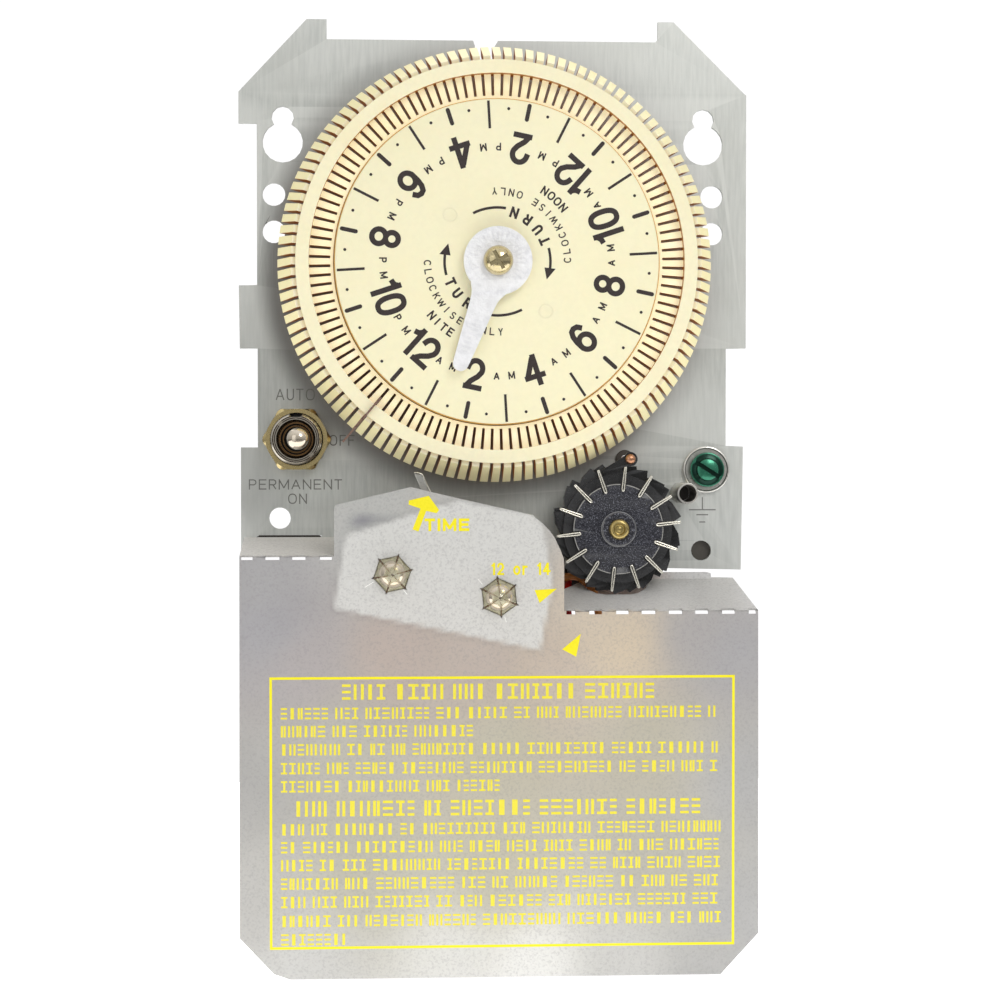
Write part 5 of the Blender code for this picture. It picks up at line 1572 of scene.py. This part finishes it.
def build_floor():
    mesh = bpy.data.meshes.new("floor")
    mesh.from_pydata([(x, y, FLOOR_Z) for x, y in FLOOR_CORNERS], [], [(0, 1, 2, 3)])
    floor = linked("floor", mesh)
    g = Graph("pale_floor")
    grain = g.noise(30.0, detail=3.0, rough=0.5)
    g.set("Base Color", g.mix(grain, (0.90, 0.90, 0.90), (0.94, 0.94, 0.94)))
    g.set("Roughness", 0.8)
    g.set("Emission Color", (1.0, 1.0, 1.0))
    g.set("Emission Strength", 0.75)
    mesh.materials.append(g.material)


def build_world():
    """White to the camera; everything else is lit by a grey tent, darkest just below level."""
    world = bpy.data.worlds.new("studio")
    bpy.context.scene.world = world
    world.use_nodes = True
    tree = world.node_tree
    tree.nodes.clear()
    add, link = tree.nodes.new, tree.links.new
    out = add("ShaderNodeOutputWorld")
    mixer = add("ShaderNodeMixShader")
    path = add("ShaderNodeLightPath")
    white = add("ShaderNodeBackground")
    white.inputs["Color"].default_value = (1.0, 1.0, 1.0, 1.0)
    white.inputs["Strength"].default_value = 1.05
    tent = add("ShaderNodeBackground")
    tent.inputs["Strength"].default_value = 1.0
    place = add("ShaderNodeTexCoord")
    split = add("ShaderNodeSeparateXYZ")
    scale = add("ShaderNodeMapRange")
    scale.inputs["From Min"].default_value = -1.0
    scale.inputs["From Max"].default_value = 1.0
    ramp = add("ShaderNodeValToRGB")
    steps = ramp.color_ramp.elements
    steps[0].position = 0.0
    steps[0].color = (0.30, 0.30, 0.30, 1.0)
    steps[1].position = 1.0
    steps[1].color = (0.95, 0.96, 0.98, 1.0)
    for position, grey in SKY_STEPS:
        steps.new(position).color = (grey, grey, grey * 0.99, 1.0)
    link(place.outputs["Generated"], split.inputs[0])
    link(split.outputs["Z"], scale.inputs["Value"])
    link(scale.outputs[0], ramp.inputs[0])
    link(ramp.outputs[0], tent.inputs["Color"])
    link(path.outputs["Is Camera Ray"], mixer.inputs[0])
    link(tent.outputs[0], mixer.inputs[1])
    link(white.outputs[0], mixer.inputs[2])
    link(mixer.outputs[0], out.inputs["Surface"])


def aim_at(obj, place, target):
    obj.location = DIAL + Vector(place)
    way = DIAL + Vector(target) - obj.location
    obj.rotation_euler = way.to_track_quat("-Z", "Y").to_euler()


def panel(name, place, size, power, colour=(1.0, 1.0, 1.0), aim_z=-0.06):
    light = bpy.data.lights.new(name, "AREA")
    light.shape = "RECTANGLE"
    light.size, light.size_y = size
    light.energy = power
    light.color = colour
    lamp = bpy.data.objects.new(name, light)
    aim_at(lamp, place, (0.0, 0.0, aim_z))
    bpy.context.scene.collection.objects.link(lamp)
    lamp.visible_camera = False


def build_lights():
    panel("key", (0.36, -0.72, 0.50), size=(0.36, 0.36), power=2.3, colour=(1.0, 0.99, 0.97),
          aim_z=-0.04)
    panel("fill", (-0.60, -0.75, 0.05), size=(0.6, 0.8), power=0.9, colour=(0.98, 0.99, 1.0))
    panel("low", (0.05, -0.62, -0.50), size=(0.8, 0.25), power=1.1, colour=(1.0, 0.98, 0.90))
    panel("back", (0.0, 0.6, 0.45), size=(0.8, 0.4), power=0.8)


def build_camera():
    data = bpy.data.cameras.new("camera")
    data.lens = 83.2
    data.sensor_width = 36.0
    data.clip_start, data.clip_end = 0.01, 10.0
    camera = linked("camera", data)
    aim_at(camera, place=(-0.0293, -0.550, -0.0439), target=(0.00146, 0.0, -0.05544))
    scene = bpy.context.scene
    scene.camera = camera
    scene.view_settings.view_transform = "Standard"
    scene.view_settings.look = "None"


dress_cad_pieces()
build_legend()
build_dial_face()
build_dial_print()
build_dial_gap_shade()
build_pointer()
build_toggle_bushing()
build_toggle_nut()
build_toggle_lever()
build_hardware()
build_day_wheel()
build_wires()
build_sheet()
build_flap_edge()
build_petals()
build_sheet_print()
build_floor()
build_world()
build_lights()
build_camera()
